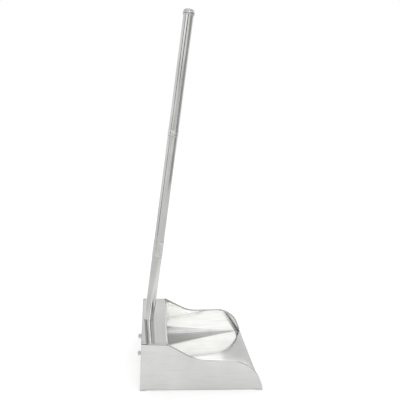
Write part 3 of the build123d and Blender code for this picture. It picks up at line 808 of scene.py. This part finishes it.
def groove_height(handle):
    """Middle of the groove in the cap's skirt, along the handle."""
    skirt_foot = handle.handle_reach - handle.dome_rise - handle.cap_skirt
    return skirt_foot + handle.cap_round + handle.groove_width / 2 + handle.end_round


def cap_profile(handle):
    """Profile of the end cap: crown and shoulder arcs, grooved skirt with a rounded foot, and the socket."""
    reach = handle.handle_reach
    bore = handle.tube_radius + handle.press_gap
    radius = bore + handle.cap_wall
    crown = (radius ** 2 + handle.dome_rise ** 2) / (2 * handle.dome_rise)
    inner = radius - handle.cap_shoulder
    drop = ((crown - handle.cap_shoulder) ** 2 - inner ** 2) ** 0.5
    tangent = atan2(drop, inner)
    shoulder = reach - crown + drop
    dome_foot = reach - handle.dome_rise
    foot = dome_foot - handle.cap_skirt
    heights = np.linspace(shoulder, foot + handle.cap_round, 26)[1:-1]
    groove = bead(heights, groove_height(handle), handle.groove_depth, handle.groove_width)
    plug = handle.tube_radius - handle.tube_wall - handle.press_gap
    tube_top = dome_foot - handle.cap_top
    stem_foot = tube_top - handle.stem_length
    return np.concatenate([
        arc((0, reach - crown), crown, pi / 2, tangent, 24),
        arc((inner, shoulder), handle.cap_shoulder, tangent, 0, 12),
        np.stack([radius - groove, heights], axis=-1),
        arc((radius - handle.cap_round, foot + handle.cap_round), handle.cap_round, 0, -pi / 2, 6),
        [(bore, foot), (bore, tube_top), (plug, tube_top), (plug, stem_foot)],
        [(plug - handle.stem_wall, stem_foot), (plug - handle.stem_wall, dome_foot), (0, dome_foot)],
    ])[::-1]


def lower_tube_surface(handle, pan, line, spine):
    """Outside of the lower tube: rings from the round top down to the pressed tang.

    Each ring is an ellipse whose half width and half thickness go from the circle's to the tang's by a
    smoothstep, with its flat faces drawn straighter by a tanh. The tang's corners are rounded by the circle's
    equation. The bore goes down to the deck, below which nothing shows it."""
    foot, up, top = spine.foot, spine.up, spine.lower_joint - handle.bush_rim
    round_foot = foot - up * handle.round_below
    inset = pan.sheet + pan.seam + handle.tube_wall
    press_middle = line.foot + line.up * handle.tang_top - line.out * inset
    tang_length = handle.tang_top - handle.tang_bottom
    radius, wall = handle.tube_radius, handle.tube_wall
    tang_half = (pi * radius - 2 * wall) / 2
    turn = angles_round()
    upright = np.linspace(top, 0, 12)[:, None]
    press = smoothstep(np.linspace(0, 1, 24)[1:, None])
    tang = np.linspace(0, tang_length, 24)[1:, None]
    corner = np.clip((handle.tang_round - (tang_length - tang)) / handle.tang_round, 0, 1)
    half_width = np.concatenate([
        np.full_like(upright, radius), radius + press * (tang_half - radius),
        tang_half - handle.tang_round * (1 - np.sqrt(1 - corner ** 2)),
    ])
    half_thick = np.concatenate([
        np.full_like(upright, radius), radius + press * (wall - radius), np.full_like(tang, wall),
    ])
    flatness = ROUND_FLATNESS + TANG_FLATNESS * np.concatenate([0 * upright, press, np.ones_like(tang)])
    middle = np.concatenate([
        foot + upright * up, round_foot + press * (press_middle - round_foot), press_middle - tang * line.up,
    ])
    ahead = np.cross(up, X_AXIS)
    forward = np.concatenate([ahead + 0 * upright, ahead + press * (line.out - ahead), line.out + 0 * tang])
    forward = forward / np.linalg.norm(forward, axis=1, keepdims=True)
    wide = half_width * np.cos(turn)
    thick = half_thick * np.tanh(flatness * np.sin(turn)) / np.tanh(flatness)
    outside = middle[:, None] + wide[..., None] * X_AXIS + thick[..., None] * forward[:, None]
    bore = np.full((2, 1), radius - wall)
    inside = rings_round(foot, up, bore, np.array([[0.0], [top]]), turn)
    return capped(np.concatenate([inside, outside]), foot, press_middle - line.up * tang_length)


# Fasteners

def nut_surface(fixing, foot, out, low):
    """Hexagon nut: the radius is the hexagon's, cut back at both ends by a cone, with a hole through it."""
    turn = angles_round()
    hexagon = fixing.nut_flats / 2 / np.cos(np.mod(turn, pi / 3) - pi / 6)
    height = np.linspace(0, fixing.nut_height, 23)
    from_end = np.minimum(height, fixing.nut_height - height)[:, None]
    cone = fixing.nut_flats / 2 * NUT_FACE + from_end / tan(fixing.nut_bevel)
    hole = np.full((1, len(turn)), fixing.bolt_radius)
    radii = np.concatenate([hole, np.minimum(hexagon, cone), hole, hole])
    rise = np.concatenate([[0], height, [fixing.nut_height, 0]])[:, None]
    points = rings_round(foot, out, radii, low + rise, turn)
    return points, grid_faces(len(points), len(turn), closed=True)


def head_surface(fixing, foot, out, low):
    """Round bolt head seen from its top: a disc whose height falls away at the rim, less a cross recess.

    The recess takes the depth off wherever the place is within the cross, with sloped walls."""
    turn = angles_round()
    radius = fixing.head_radius * np.linspace(0, 1, 48)[:, None] + 0 * turn
    rim = np.clip((radius - (fixing.head_radius - fixing.head_round)) / fixing.head_round, 0, RIM_END)
    x, y = np.abs(radius * np.cos(turn)), np.abs(radius * np.sin(turn))
    arms = [
        np.maximum(along - fixing.recess_length / 2, aside - fixing.recess_width / 2)
        for along, aside in ((x, y), (y, x))
    ]
    recess = np.clip(-np.minimum(*arms) / RECESS_WALL, 0, 1) * fixing.recess_depth
    height = fixing.head_height - fixing.head_round * (1 - np.sqrt(1 - rim ** 2)) - recess
    underside = np.zeros((2, len(turn)))
    radius = np.concatenate([radius, radius[-1:], underside[:1]])
    points = rings_round(foot + low * out, -out, radius, np.concatenate([height, underside]), turn)
    return points, grid_faces(len(points), len(turn), closed=True)


def spring_surface(fixing, foot, out, low):
    """Spring washer, pressed flat: a rounded rectangle carried round a circle that stops short of itself."""
    gap = fixing.spring_split / (fixing.bolt_radius + fixing.spring_radius)
    turn = np.linspace(gap, 2 * pi - gap, 64)
    hole = fixing.bolt_radius + fixing.bolt_gap
    corners = ring_corners(hole, fixing.spring_radius, 0, fixing.spring_thickness)
    radius, height = rounded_section(corners, SPRING_ROUND).T[..., None]
    points = rings_round(foot, out, radius, low + height, turn).swapaxes(0, 1)
    middle = points.mean(axis=1)
    return capped(points, middle[0], middle[-1])


# Materials

def feed(tree, node, inputs):
    """Gives named inputs of a node a value, or a link from a socket or from a node's first live output."""
    for name, value in inputs.items():
        if isinstance(value, bpy.types.Node):
            value = next(socket for socket in value.outputs if socket.enabled)
        if isinstance(value, bpy.types.NodeSocket):
            tree.links.new(value, node.inputs[name])
        else:
            node.inputs[name].default_value = value
    return node


def add_node(tree, kind, inputs=None, **settings):
    """Adds a node, sets its properties and feeds its inputs."""
    node = tree.nodes.new(kind)
    for name, value in settings.items():
        setattr(node, name, value)
    return feed(tree, node, inputs or {})


def new_material(name):
    """An empty node material with its tree, its shader and its object coordinates."""
    material = bpy.data.materials.new(name)
    material.use_nodes = True
    tree = material.node_tree
    place = add_node(tree, "ShaderNodeTexCoord").outputs["Object"]
    return material, tree, tree.nodes["Principled BSDF"], place


def mottle(tree, place, light, dark, grain):
    """Colour that drifts between two close tones over patches of a size, as handled metal does."""
    patches = add_node(tree, "ShaderNodeTexNoise", {"Vector": place, "Scale": 1 / grain, "Detail": 3.0})
    ramp = add_node(tree, "ShaderNodeMapRange", {"Value": patches, "From Min": 0.35, "From Max": 0.65})
    return add_node(tree, "ShaderNodeMix", {"Factor": ramp, "A": dark, "B": light}, data_type="RGBA")


def streaks(tree, place, turn, size):
    """Noise whose grain has one size along each axis, turned: long one way it makes lines."""
    axes = {"Vector": place, "Rotation": turn, "Scale": size}
    mapping = add_node(tree, "ShaderNodeMapping", axes, vector_type="TEXTURE")
    return add_node(tree, "ShaderNodeTexNoise", {"Vector": mapping, "Scale": 1.0, "Detail": 2.0})


def clouded(name, light, dark, patch, grain, sheen, detail=3.0, **sockets):
    """A finish that drifts between two tones over patches of a size, and in roughness over a finer grain.

    The sockets are numbers that hold all over. Gives the material and its nodes of tone and grain."""
    material, tree, shader, place = new_material(name)
    tone = mottle(tree, place, light, dark, patch)
    cloud = add_node(tree, "ShaderNodeTexNoise", {"Vector": place, "Scale": 1 / grain, "Detail": detail})
    rough = add_node(tree, "ShaderNodeMapRange", {"Value": cloud, "To Min": sheen[0], "To Max": sheen[1]})
    feed(tree, shader, {"Base Color": tone, "Roughness": rough, **sockets})
    return material, tone, cloud


def bright_sheet(name, finish, turn, hair, foot_shade=0.0, haze=0.0):
    """Bright annealed stainless sheet, rolled: a mirror that ripples a little, with fine lines along it.

    The lines show as slightly darker hairs. The foot shade is painted shade: a darker tone over the lowest
    few millimetres of the sheet, in place of the dark ground contact that the fold mirrors. Haze is roughness
    that litter has worn into it."""
    material, tree, shader, place = new_material(name)
    # rolling lines are under 0.1 mm apart, drawn coarser to show
    fine = streaks(tree, place, turn, (90 * MM, 1.2 * MM, 1.2 * MM))
    broad = streaks(tree, place, turn, (260 * MM, 4.5 * MM, 4.5 * MM))
    lines = add_node(tree, "ShaderNodeMath", {0: fine, 1: broad}, operation="ADD")
    tone = mottle(tree, place, finish.sheet_light, finish.sheet_dark, 90 * MM)
    hairs = add_node(tree, "ShaderNodeMapRange", {
        "Value": broad, "From Min": 0.5, "From Max": 0.7, "To Max": hair,
    })
    tone = add_node(
        tree, "ShaderNodeMix", {"Factor": hairs, "A": tone, "B": finish.sheet_hair}, data_type="RGBA"
    )
    # painted shade: the tone darkens towards the foot, fully below 1 mm and fading out by 5 mm, in place of
    # the mirrored ground contact
    if foot_shade:
        height = add_node(tree, "ShaderNodeSeparateXYZ", {"Vector": place}).outputs["Z"]
        foot = add_node(tree, "ShaderNodeMapRange", {
            "Value": height, "From Min": 1 * MM, "From Max": 5 * MM, "To Min": foot_shade, "To Max": 0.0,
        })
        tone = add_node(
            tree, "ShaderNodeMix", {"Factor": foot, "A": tone, "B": finish.sheet_foot_shade}, data_type="RGBA"
        )
    sheen = add_node(tree, "ShaderNodeMapRange", {
        "Value": lines, "From Max": 2.0, "To Min": 0.05 + haze, "To Max": 0.1 + haze,
    })
    wave = add_node(tree, "ShaderNodeTexNoise", {"Vector": place, "Scale": 1 / (75 * MM), "Detail": 1.0})
    ripple = add_node(tree, "ShaderNodeBump", {"Height": wave, "Strength": 1.0, "Distance": 0.08 * MM})
    surface = add_node(tree, "ShaderNodeBump", {
        "Height": lines, "Strength": 0.5, "Distance": 0.01 * MM, "Normal": ripple,
    })
    feed(tree, shader, {"Base Color": tone, "Metallic": 1.0, "Roughness": sheen, "Normal": surface})
    return material


def polished_tube(name, finish, up):
    """Welded stainless tube, polished: mirror bright, with hair lines round it."""
    material, tree, shader, place = new_material(name)
    # polishing lines are about 0.05 mm apart, drawn coarser to show
    lines = streaks(tree, place, (atan2(-up[1], up[2]), 0, 0), (30 * MM, 30 * MM, 0.9 * MM))
    tone = mottle(tree, place, finish.tube_light, finish.tube_dark, 70 * MM)
    sheen = add_node(tree, "ShaderNodeMapRange", {"Value": lines, "To Min": 0.06, "To Max": 0.11})
    surface = add_node(tree, "ShaderNodeBump", {"Height": lines, "Strength": 0.3, "Distance": 0.004 * MM})
    feed(tree, shader, {"Base Color": tone, "Metallic": 1.0, "Roughness": sheen, "Normal": surface})
    return material


def rolled_collar(name, finish):
    """Rolled stainless collar: bright, under the haze of handling."""
    light, dark = finish.collar_light, finish.collar_dark
    return clouded(name, light, dark, 14 * MM, 6 * MM, (0.16, 0.3), 4.0, Metallic=1.0)[0]


def moulded_nylon(name, finish):
    """Moulded natural nylon: off white, waxy, with a fine mottle."""
    light, dark = finish.nylon, finish.nylon_dark
    material, _, grain = clouded(name, light, dark, 5 * MM, 0.8 * MM, (0.38, 0.52), IOR=1.53)
    tree = material.node_tree
    surface = add_node(tree, "ShaderNodeBump", {"Height": grain, "Strength": 0.2, "Distance": 0.02 * MM})
    feed(tree, tree.nodes["Principled BSDF"], {"Normal": surface})
    return material


def rolled_thread(name, finish):
    """Rolled steel thread: grey, clouded by dull oil."""
    return clouded(name, finish.thread, finish.thread_dark, 3 * MM, 1.2 * MM, (0.25, 0.42), Metallic=1.0)[0]


def zinc_plate(name, finish):
    """Bright zinc plate on small steel pieces: cool grey, a little cloudy."""
    return clouded(name, finish.zinc, finish.zinc_dark, 3 * MM, 1.6 * MM, (0.34, 0.48), Metallic=1.0)[0]


def bright_plating(name, finish, handle, spine):
    """Bright plated cap: a clean mirror with faint rub marks, and painted shade down in its groove, a band
    that is mixed towards a dark tone.
    """
    light, dark = finish.cap, finish.cap_dark
    material, tone, _ = clouded(name, light, dark, 7 * MM, 4 * MM, (0.06, 0.16), 4.0, Metallic=1.0)
    tree = material.node_tree
    place = tree.nodes["Texture Coordinate"].outputs["Object"]
    # painted shade: a band round the handle's axis at the groove's height is mixed towards the dark tone
    along = add_node(tree, "ShaderNodeVectorMath", {0: place, 1: spine.up}, operation="DOT_PRODUCT")
    middle = float(np.dot(spine.foot, spine.up)) + groove_height(handle)
    off = add_node(tree, "ShaderNodeMath", {0: along, 1: middle}, operation="SUBTRACT")
    off = add_node(tree, "ShaderNodeMath", {0: off}, operation="ABSOLUTE")
    groove = add_node(tree, "ShaderNodeMapRange", {
        "Value": off, "From Min": 0.35 * handle.groove_width, "From Max": 0.55 * handle.groove_width,
        "To Min": 0.65, "To Max": 0.0,
    })
    tone = add_node(
        tree, "ShaderNodeMix", {"Factor": groove, "A": tone, "B": finish.cap_groove_shade}, data_type="RGBA"
    )
    feed(tree, tree.nodes["Principled BSDF"], {"Base Color": tone})
    return material


def pale_floor(stage, finish):
    """Matt white floor that keeps the shadow. Part of its white is its own, as camera and metal see it."""
    material, tree, shader, place = new_material("floor_matt_white")
    path = add_node(tree, "ShaderNodeLightPath").outputs
    away = add_node(tree, "ShaderNodeVectorMath", {0: place}, operation="LENGTH")
    pool = add_node(tree, "ShaderNodeMapRange", {
        "Value": away, "From Min": stage.pool_start, "From Max": stage.pool_end,
        "To Min": 1.0, "To Max": stage.pool_rest,
    }, interpolation_type="SMOOTHSTEP")
    mirrored = add_node(tree, "ShaderNodeMath", {0: path["Is Glossy Ray"], 1: pool}, operation="MULTIPLY")
    seen = add_node(tree, "ShaderNodeMath", {0: path["Is Camera Ray"], 1: mirrored}, operation="MAXIMUM")
    seen = add_node(tree, "ShaderNodeMath", {0: seen, 1: path["Is Transmission Ray"]}, operation="MAXIMUM")
    glow = add_node(tree, "ShaderNodeMath", {0: seen, 1: stage.floor_glow}, operation="MULTIPLY")
    feed(tree, shader, {
        "Base Color": finish.floor, "Roughness": 1.0, "Specular IOR Level": 0.0,
        "Emission Color": WHITE, "Emission Strength": glow,
    })
    return material


def plain_cloth(name, code):
    """Matt cloth of one grey, for flags that only mirrors see."""
    material, tree, shader, _ = new_material(name)
    feed(tree, shader, {"Base Color": linear(code), "Roughness": 1.0})
    return material


# Stage

def studio_floor(stage, finish):
    """Square floor just under the pan."""
    reach = np.linspace(-stage.floor_reach, stage.floor_reach, 3)
    x, y = np.meshgrid(reach, reach)
    floor = make_mesh("studio_floor", [(np.stack([x, y, 0 * x - FLOOR_DROP], -1), grid_faces(3, 3))])
    floor.data.materials.append(pale_floor(stage, finish))


def studio_surround(stage):
    """White surround that darkens towards the ceiling and lightens again overhead."""
    world = bpy.data.worlds.new("studio_white")
    world.use_nodes = True
    tree = world.node_tree
    place = add_node(tree, "ShaderNodeTexCoord").outputs["Generated"]
    height = add_node(tree, "ShaderNodeSeparateXYZ", {"Vector": place}).outputs["Z"]
    ceiling, overhead = (add_node(tree, "ShaderNodeMapRange", {
        "Value": height, "From Min": sin(start), "From Max": sin(end), "To Min": low, "To Max": high,
    }, interpolation_type="SMOOTHSTEP") for start, end, low, high in (
        (stage.ceiling_start, stage.ceiling_end, stage.world_level, stage.ceiling_level),
        (stage.top_start, stage.top_end, 0.0, stage.top_level - stage.ceiling_level),
    ))
    level = add_node(tree, "ShaderNodeMath", {0: ceiling, 1: overhead}, operation="ADD")
    feed(tree, tree.nodes["Background"], {"Color": WHITE, "Strength": level})
    return world


def facing(direction):
    """Rotation whose -Z looks along a direction, with its +Y as near upright as it can be."""
    back = -np.array(direction) / np.linalg.norm(direction)
    right = np.cross((0, 0, 1), back)
    right = right / np.linalg.norm(right)
    return Matrix(np.stack([right, np.cross(back, right), back], axis=1).tolist()).to_4x4()


def soft_box(name, place, direction, width, height, level, beam=pi):
    """An even rectangular lamp of that white: its power is the white times pi times its area.

    A grid on the box narrows its beam: the white falls off with the tangent of the angle, and with a for half
    of the beam the power is less by 1 - a / tan(a)."""
    light = bpy.data.lights.new(name, "AREA")
    light.shape = "RECTANGLE"
    light.size, light.size_y = width, height
    light.spread = beam
    light.energy = level * pi * width * height * (1.0 if beam >= pi else 1 - beam / 2 / tan(beam / 2))
    lamp = bpy.data.objects.new(name, light)
    lamp.matrix_world = Matrix.Translation(place) @ facing(direction)
    lamp.visible_camera = False
    bpy.context.scene.collection.objects.link(lamp)


def studio_lamps(stage):
    """The large soft boxes on the camera's side and the small ones beyond the pan."""
    for name, azimuth, width, level in (
        ("key_softbox", stage.key_azimuth, stage.key_width, stage.key_level),
        ("side_softbox", stage.side_azimuth, stage.side_width, stage.side_level),
    ):
        flat, rise = cos(stage.key_elevation), sin(stage.key_elevation)
        away = np.array([-flat * cos(azimuth), -flat * sin(azimuth), rise])
        soft_box(name, away * stage.key_distance, -away, width, stage.key_height, level)
    soft_box("kick_softbox", *KICK, stage.kick_level, SMALL_BEAM)
    soft_box("fill_softbox", *FILL, stage.fill_level, SMALL_BEAM)


def studio_flags():
    """Cloths on cylinders about an upright line at the handle, which draw the stripes in the bright metal."""
    cloths = {name: plain_cloth(f"flag_{name}_cloth", code) for name, code in CLOTHS.items()}
    handle_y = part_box("middle_tube")[0].y
    for name, middle, width, reach, foot, top, cloth in FLAGS:
        turn = np.radians(np.linspace(middle - width / 2, middle + width / 2, 12))
        ray = np.stack([-np.cos(turn), -np.sin(turn), 0 * turn], -1)
        rise = np.array([[[0, 0, foot]], [[0, 0, top]]])
        points = np.array([0, handle_y, 0]) + reach * ray + rise
        flag = make_mesh(name, [(points, grid_faces(2, len(turn)))])
        flag.data.materials.append(cloths[cloth])
        flag.visible_camera = flag.visible_diffuse = flag.visible_shadow = False


def photo_camera(stage):
    """Camera at the photograph's viewing angle."""
    camera_data = bpy.data.cameras.new("photo_camera")
    camera_data.sensor_width = 36.0
    camera_data.lens = stage.focal_length
    camera_data.shift_x, camera_data.shift_y = stage.shift_x, stage.shift_y
    camera_data.clip_start, camera_data.clip_end = 0.01, 100
    camera = bpy.data.objects.new("photo_camera", camera_data)
    rear_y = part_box("left_side_wall")[1].y
    yaw, pitch = stage.camera_yaw, stage.camera_pitch
    forward = np.array([cos(pitch) * cos(yaw), -cos(pitch) * sin(yaw), -sin(pitch)])
    place = (-stage.camera_side, rear_y - stage.camera_ahead, stage.camera_height)
    camera.matrix_world = Matrix.Translation(place) @ facing(forward)
    bpy.context.scene.collection.objects.link(camera)
    return camera


# Operators

class DustpanOperator:
    """What the operators share: the sizes and colours in the scene."""
    bl_options = {"REGISTER", "UNDO"}

    def sizes(self, context):
        """Sizes of the pan, the handle and the fasteners, and the finishes."""
        scene = context.scene
        return scene.dustpan_pan, scene.dustpan_handle, scene.dustpan_fasteners, scene.dustpan_finish


class DUSTPAN_OT_walls(DustpanOperator, bpy.types.Operator):
    """Makes the two side walls with their rolled edges"""
    bl_idname = "dustpan.walls"
    bl_label = "Side walls"

    def execute(self, context):
        pan, _, _, finish = self.sizes(context)
        points, faces = wall_surface(pan, pan_lines(pan))
        # 0.45 of painted shade along the walls' foot
        material = bright_sheet("stainless_sheet_wall", finish, ALONG, hair=0.25, foot_shade=0.45)
        for name, mirror, node in (("right_wall", 1, "right_side_wall"), ("left_wall", -1, "left_side_wall")):
            placed = points * np.array([mirror, 1, 1])
            sheet_piece(name, [(placed, faces)], pan, material, node, flip=mirror > 0)
        return {"FINISHED"}


class DUSTPAN_OT_floor(DustpanOperator, bpy.types.Operator):
    """Makes the floor with its ramp and turned-up sides"""
    bl_idname = "dustpan.floor"
    bl_label = "Floor"

    def execute(self, context):
        pan, _, _, finish = self.sizes(context)
        line = pan_lines(pan)
        material = bright_sheet("stainless_sheet_floor", finish, ALONG, hair=0.25, haze=0.06)
        piece = sheet_piece("pan_floor", [floor_surface(pan, line)], pan, material, "floor_plate")
        places = np.empty(3 * len(piece.data.vertices))
        piece.data.vertices.foreach_get("co", places)
        lip = line.rear_y - pan.pan_length
        ahead = np.clip((places[1::3] - lip) / pan.lip_bevel, 0, 1).round(3)
        group = piece.vertex_groups.new(name="lip bevel")
        for share in np.unique(ahead):
            weight = LIP_EDGE + (1 - LIP_EDGE) * float(share)
            group.add(np.flatnonzero(ahead == share).tolist(), weight, "REPLACE")
        piece.modifiers["sheet"].vertex_group = group.name
        return {"FINISHED"}


class DUSTPAN_OT_back(DustpanOperator, bpy.types.Operator):
    """Makes the back panel with its hems and foot flange"""
    bl_idname = "dustpan.back"
    bl_label = "Back panel"

    def execute(self, context):
        pan, _, _, finish = self.sizes(context)
        # 0.45 of painted shade along the back panel's foot
        material = bright_sheet("stainless_sheet_back", finish, ACROSS, hair=0.35, foot_shade=0.45)
        sheet_piece("pan_back", [back_surface(pan, pan_lines(pan))], pan, material, "back_panel")
        return {"FINISHED"}


class DUSTPAN_OT_deck(DustpanOperator, bpy.types.Operator):
    """Makes the deck with its aprons, cheeks and tube hole"""
    bl_idname = "dustpan.deck"
    bl_label = "Deck"

    def execute(self, context):
        pan, handle, _, finish = self.sizes(context)
        material = bright_sheet("stainless_sheet_deck", finish, ACROSS, hair=0.6)
        sheet_piece("pan_deck", deck_surface(pan, handle, pan_lines(pan)), pan, material, "deck_plate")
        return {"FINISHED"}


class DUSTPAN_OT_tubes(DustpanOperator, bpy.types.Operator):
    """Makes the three lengths of tube"""
    bl_idname = "dustpan.tubes"
    bl_label = "Tubes"

    def execute(self, context):
        pan, handle, _, finish = self.sizes(context)
        line = pan_lines(pan)
        spine = handle_lines(handle, line)
        slot = "polished_stainless_tube"
        material = polished_tube("stainless_tube_polished", finish, spine.up)
        lower = lower_tube_surface(handle, pan, line, spine)
        closed_piece("lower_length", [lower], SHEET_CREASE, "pan", slot, material, "lower_tube")
        bore = handle.tube_radius - handle.tube_wall
        tube_top = handle.handle_reach - handle.dome_rise - handle.cap_top
        for name, start, end, body in (
            ("middle", spine.lower_joint, spine.upper_joint - handle.bush_rim, "middle_section"),
            ("upper", spine.upper_joint, tube_top, "upper_section"),
        ):
            corners = ring_corners(bore, handle.tube_radius, start + handle.running_gap, end)
            tube = turned_section(corners, handle.end_round, spine)
            closed_piece(f"{name}_length", [tube], ROUND_CREASE, body, slot, material, f"{name}_tube")
        return {"FINISHED"}


class DUSTPAN_OT_collars(DustpanOperator, bpy.types.Operator):
    """Makes the beaded sleeve and ring over the joints"""
    bl_idname = "dustpan.collars"
    bl_label = "Sleeve and ring"

    def execute(self, context):
        pan, handle, _, finish = self.sizes(context)
        spine = handle_lines(handle, pan_lines(pan))
        material = rolled_collar("stainless_collar_rolled", finish)
        sleeve_beads = (handle.bead_inset, handle.bead_inset + handle.bead_pitch)
        for name, joint, long, beads, node in (
            ("joint_sleeve", spine.lower_joint, handle.sleeve_length, sleeve_beads, "lower_sleeve"),
            ("joint_ring", spine.upper_joint, handle.ring_length, (handle.ring_length / 2,), "upper_ring"),
        ):
            collar = turned(collar_profile(handle, joint, long, beads), spine.foot, spine.up)
            closed_piece(name, [collar], ROUND_CREASE, node, "stainless_collar", material, node)
        return {"FINISHED"}


class DUSTPAN_OT_cap(DustpanOperator, bpy.types.Operator):
    """Makes the domed cap"""
    bl_idname = "dustpan.cap"
    bl_label = "End cap"

    def execute(self, context):
        pan, handle, _, finish = self.sizes(context)
        spine = handle_lines(handle, pan_lines(pan))
        material = bright_plating("cap_bright_plated", finish, handle, spine)
        cap = turned(supported(cap_profile(handle), closed=False), spine.foot, spine.up, closed=False)
        closed_piece("cap_dome", [cap], ROUND_CREASE, "upper_section", "cap_finish", material, "end_cap")
        return {"FINISHED"}


class DUSTPAN_OT_screws(DustpanOperator, bpy.types.Operator):
    """Makes the threaded studs, their sockets and their plugs"""
    bl_idname = "dustpan.screws"
    bl_label = "Screw joints"

    def execute(self, context):
        pan, handle, _, finish = self.sizes(context)
        spine = handle_lines(handle, pan_lines(pan))
        thread = rolled_thread("steel_thread_rolled", finish)
        nylon = moulded_nylon("nylon_moulded", finish)
        bush = handle.tube_radius - handle.tube_wall - handle.press_gap
        socket, hold = handle.stud_radius + handle.running_gap, handle.stud_radius + handle.press_gap
        for below, above, joint, lower_body, upper_body in (
            ("lower", "middle", spine.lower_joint, "pan", "middle_section"),
            ("middle", "upper", spine.upper_joint, "middle_section", "upper_section"),
        ):
            start, top = joint - handle.stud_reach, joint + handle.stud_hold
            heights = np.arange(start, top, handle.thread_pitch / STUD_STEPS)
            form = handle.stud_radius, handle.thread_depth, handle.thread_pitch
            stud = threaded(*form, heights, spine.foot, spine.up, handle.stud_chamfer)
            node = f"{above}_stud"
            closed_piece(f"{above}_screw", [stud], THREAD_CREASE, upper_body, "steel_stud", thread, node)
            web = start - handle.stud_room
            rim = joint - handle.bush_rim
            base = web - handle.bush_web
            corners = [
                (POLE, base), (bush, base), (bush, rim), (handle.tube_radius, rim),
                (handle.tube_radius, joint), (socket, joint), (socket, web), (POLE, web),
            ]
            cup = turned_section(corners, handle.end_round, spine)
            node = f"{below}_socket_bush"
            closed_piece(f"{below}_socket", [cup], ROUND_CREASE, lower_body, "nylon_bush", nylon, node)
            foot, head = joint + handle.running_gap, top + handle.bush_web
            corners = [(hold, foot), (bush, foot), (bush, head), (POLE, head), (POLE, top), (hold, top)]
            plug = turned_section(corners, handle.end_round, spine)
            node = f"{above}_stud_bush"
            closed_piece(f"{above}_plug", [plug], ROUND_CREASE, upper_body, "nylon_bush", nylon, node)
        return {"FINISHED"}


class DUSTPAN_OT_fasteners(DustpanOperator, bpy.types.Operator):
    """Makes the bolts, washers and nuts on the back panel"""
    bl_idname = "dustpan.fasteners"
    bl_label = "Bolts, washers and nuts"

    def execute(self, context):
        pan, handle, fixing, finish = self.sizes(context)
        line = pan_lines(pan)
        out = line.out
        zinc = zinc_plate("zinc_plate_bright", finish)
        washer, spring, nut = fixing.washer_thickness, fixing.spring_thickness, fixing.nut_height
        grip = pan.sheet + pan.seam + 2 * handle.tube_wall
        tail = washer + spring + nut + fixing.bolt_tail
        along = np.arange(-grip, tail, fixing.bolt_thread / BOLT_STEPS)
        corners = ring_corners(fixing.bolt_radius + fixing.bolt_gap, fixing.washer_radius, 0, washer)
        section = rounded_section(corners, WASHER_ROUND)
        bolts, washers, springs, nuts = [], [], [], []
        for height in (fixing.bolt_low, fixing.bolt_low + fixing.bolt_pitch):
            foot = line.foot + line.up * height
            form = fixing.bolt_radius, fixing.bolt_depth, fixing.bolt_thread
            shank = threaded(*form, along, foot, out, fixing.bolt_chamfer, segments=48)
            bolts += [shank, head_surface(fixing, foot, out, -grip)]
            washers.append(turned(section, foot, out, segments=64))
            springs.append(spring_surface(fixing, foot, out, washer))
            nuts.append(nut_surface(fixing, foot, out, washer + spring))
        for name, surfaces, node in (
            ("tang_bolts", bolts, "handle_bolts"), ("tang_washers", washers, "flat_washers"),
            ("tang_springs", springs, "spring_washers"), ("tang_nuts", nuts, "hex_nuts"),
        ):
            closed_piece(name, surfaces, THREAD_CREASE, "pan", "steel_fastener", zinc, node)
        return {"FINISHED"}


class DUSTPAN_OT_stage(DustpanOperator, bpy.types.Operator):
    """Makes the floor, the soft light and the camera"""
    bl_idname = "dustpan.stage"
    bl_label = "Stage"

    def execute(self, context):
        scene = context.scene
        stage = scene.dustpan_stage
        studio_floor(stage, scene.dustpan_finish)
        scene.world = studio_surround(stage)
        studio_lamps(stage)
        studio_flags()
        scene.camera = photo_camera(stage)
        scene.view_settings.view_transform = "Standard"
        scene.cycles.glossy_bounces = 12  # light goes to and fro between the bright sheets
        return {"FINISHED"}


class DUSTPAN_PT_sidebar(bpy.types.Panel):
    """Pieces, sizes and finishes of the dustpan"""
    bl_idname = "DUSTPAN_PT_sidebar"
    bl_label = "Dustpan"
    bl_space_type = "VIEW_3D"
    bl_region_type = "UI"
    bl_category = "Dustpan"

    def draw(self, context):
        layout = self.layout
        for operator in OPERATORS:
            layout.operator(operator.bl_idname)
        for name in GROUPS:
            group = getattr(context.scene, name)
            box = layout.box()
            for key in group.__annotations__:
                box.prop(group, key)


GROUPS = {
    "dustpan_pan": DustpanPanSizes, "dustpan_handle": DustpanHandleSizes,
    "dustpan_fasteners": DustpanFastenerSizes, "dustpan_finish": DustpanFinish, "dustpan_stage": DustpanStage,
}
OPERATORS = (
    DUSTPAN_OT_walls, DUSTPAN_OT_floor, DUSTPAN_OT_back, DUSTPAN_OT_deck, DUSTPAN_OT_tubes,
    DUSTPAN_OT_collars, DUSTPAN_OT_cap, DUSTPAN_OT_screws, DUSTPAN_OT_fasteners, DUSTPAN_OT_stage,
)
CLASSES = (*GROUPS.values(), *OPERATORS, DUSTPAN_PT_sidebar)


def register():
    """Registers the classes and puts the settings on the scene."""
    for item in CLASSES:
        bpy.utils.register_class(item)
    for name, group in GROUPS.items():
        setattr(bpy.types.Scene, name, bpy.props.PointerProperty(type=group))


def unregister():
    """Takes the settings and the classes away again."""
    for name in GROUPS:
        delattr(bpy.types.Scene, name)
    for item in reversed(CLASSES):
        bpy.utils.unregister_class(item)


def main():
    """Builds the pieces and the stage."""
    register()
    for operator in OPERATORS:
        area, _, name = operator.bl_idname.partition(".")
        result = getattr(getattr(bpy.ops, area), name)()
        if result != {"FINISHED"}:
            raise RuntimeError(f"{operator.bl_label} could not be made")
    bpy.context.view_layer.update()


if __name__ == "__main__":
    main()
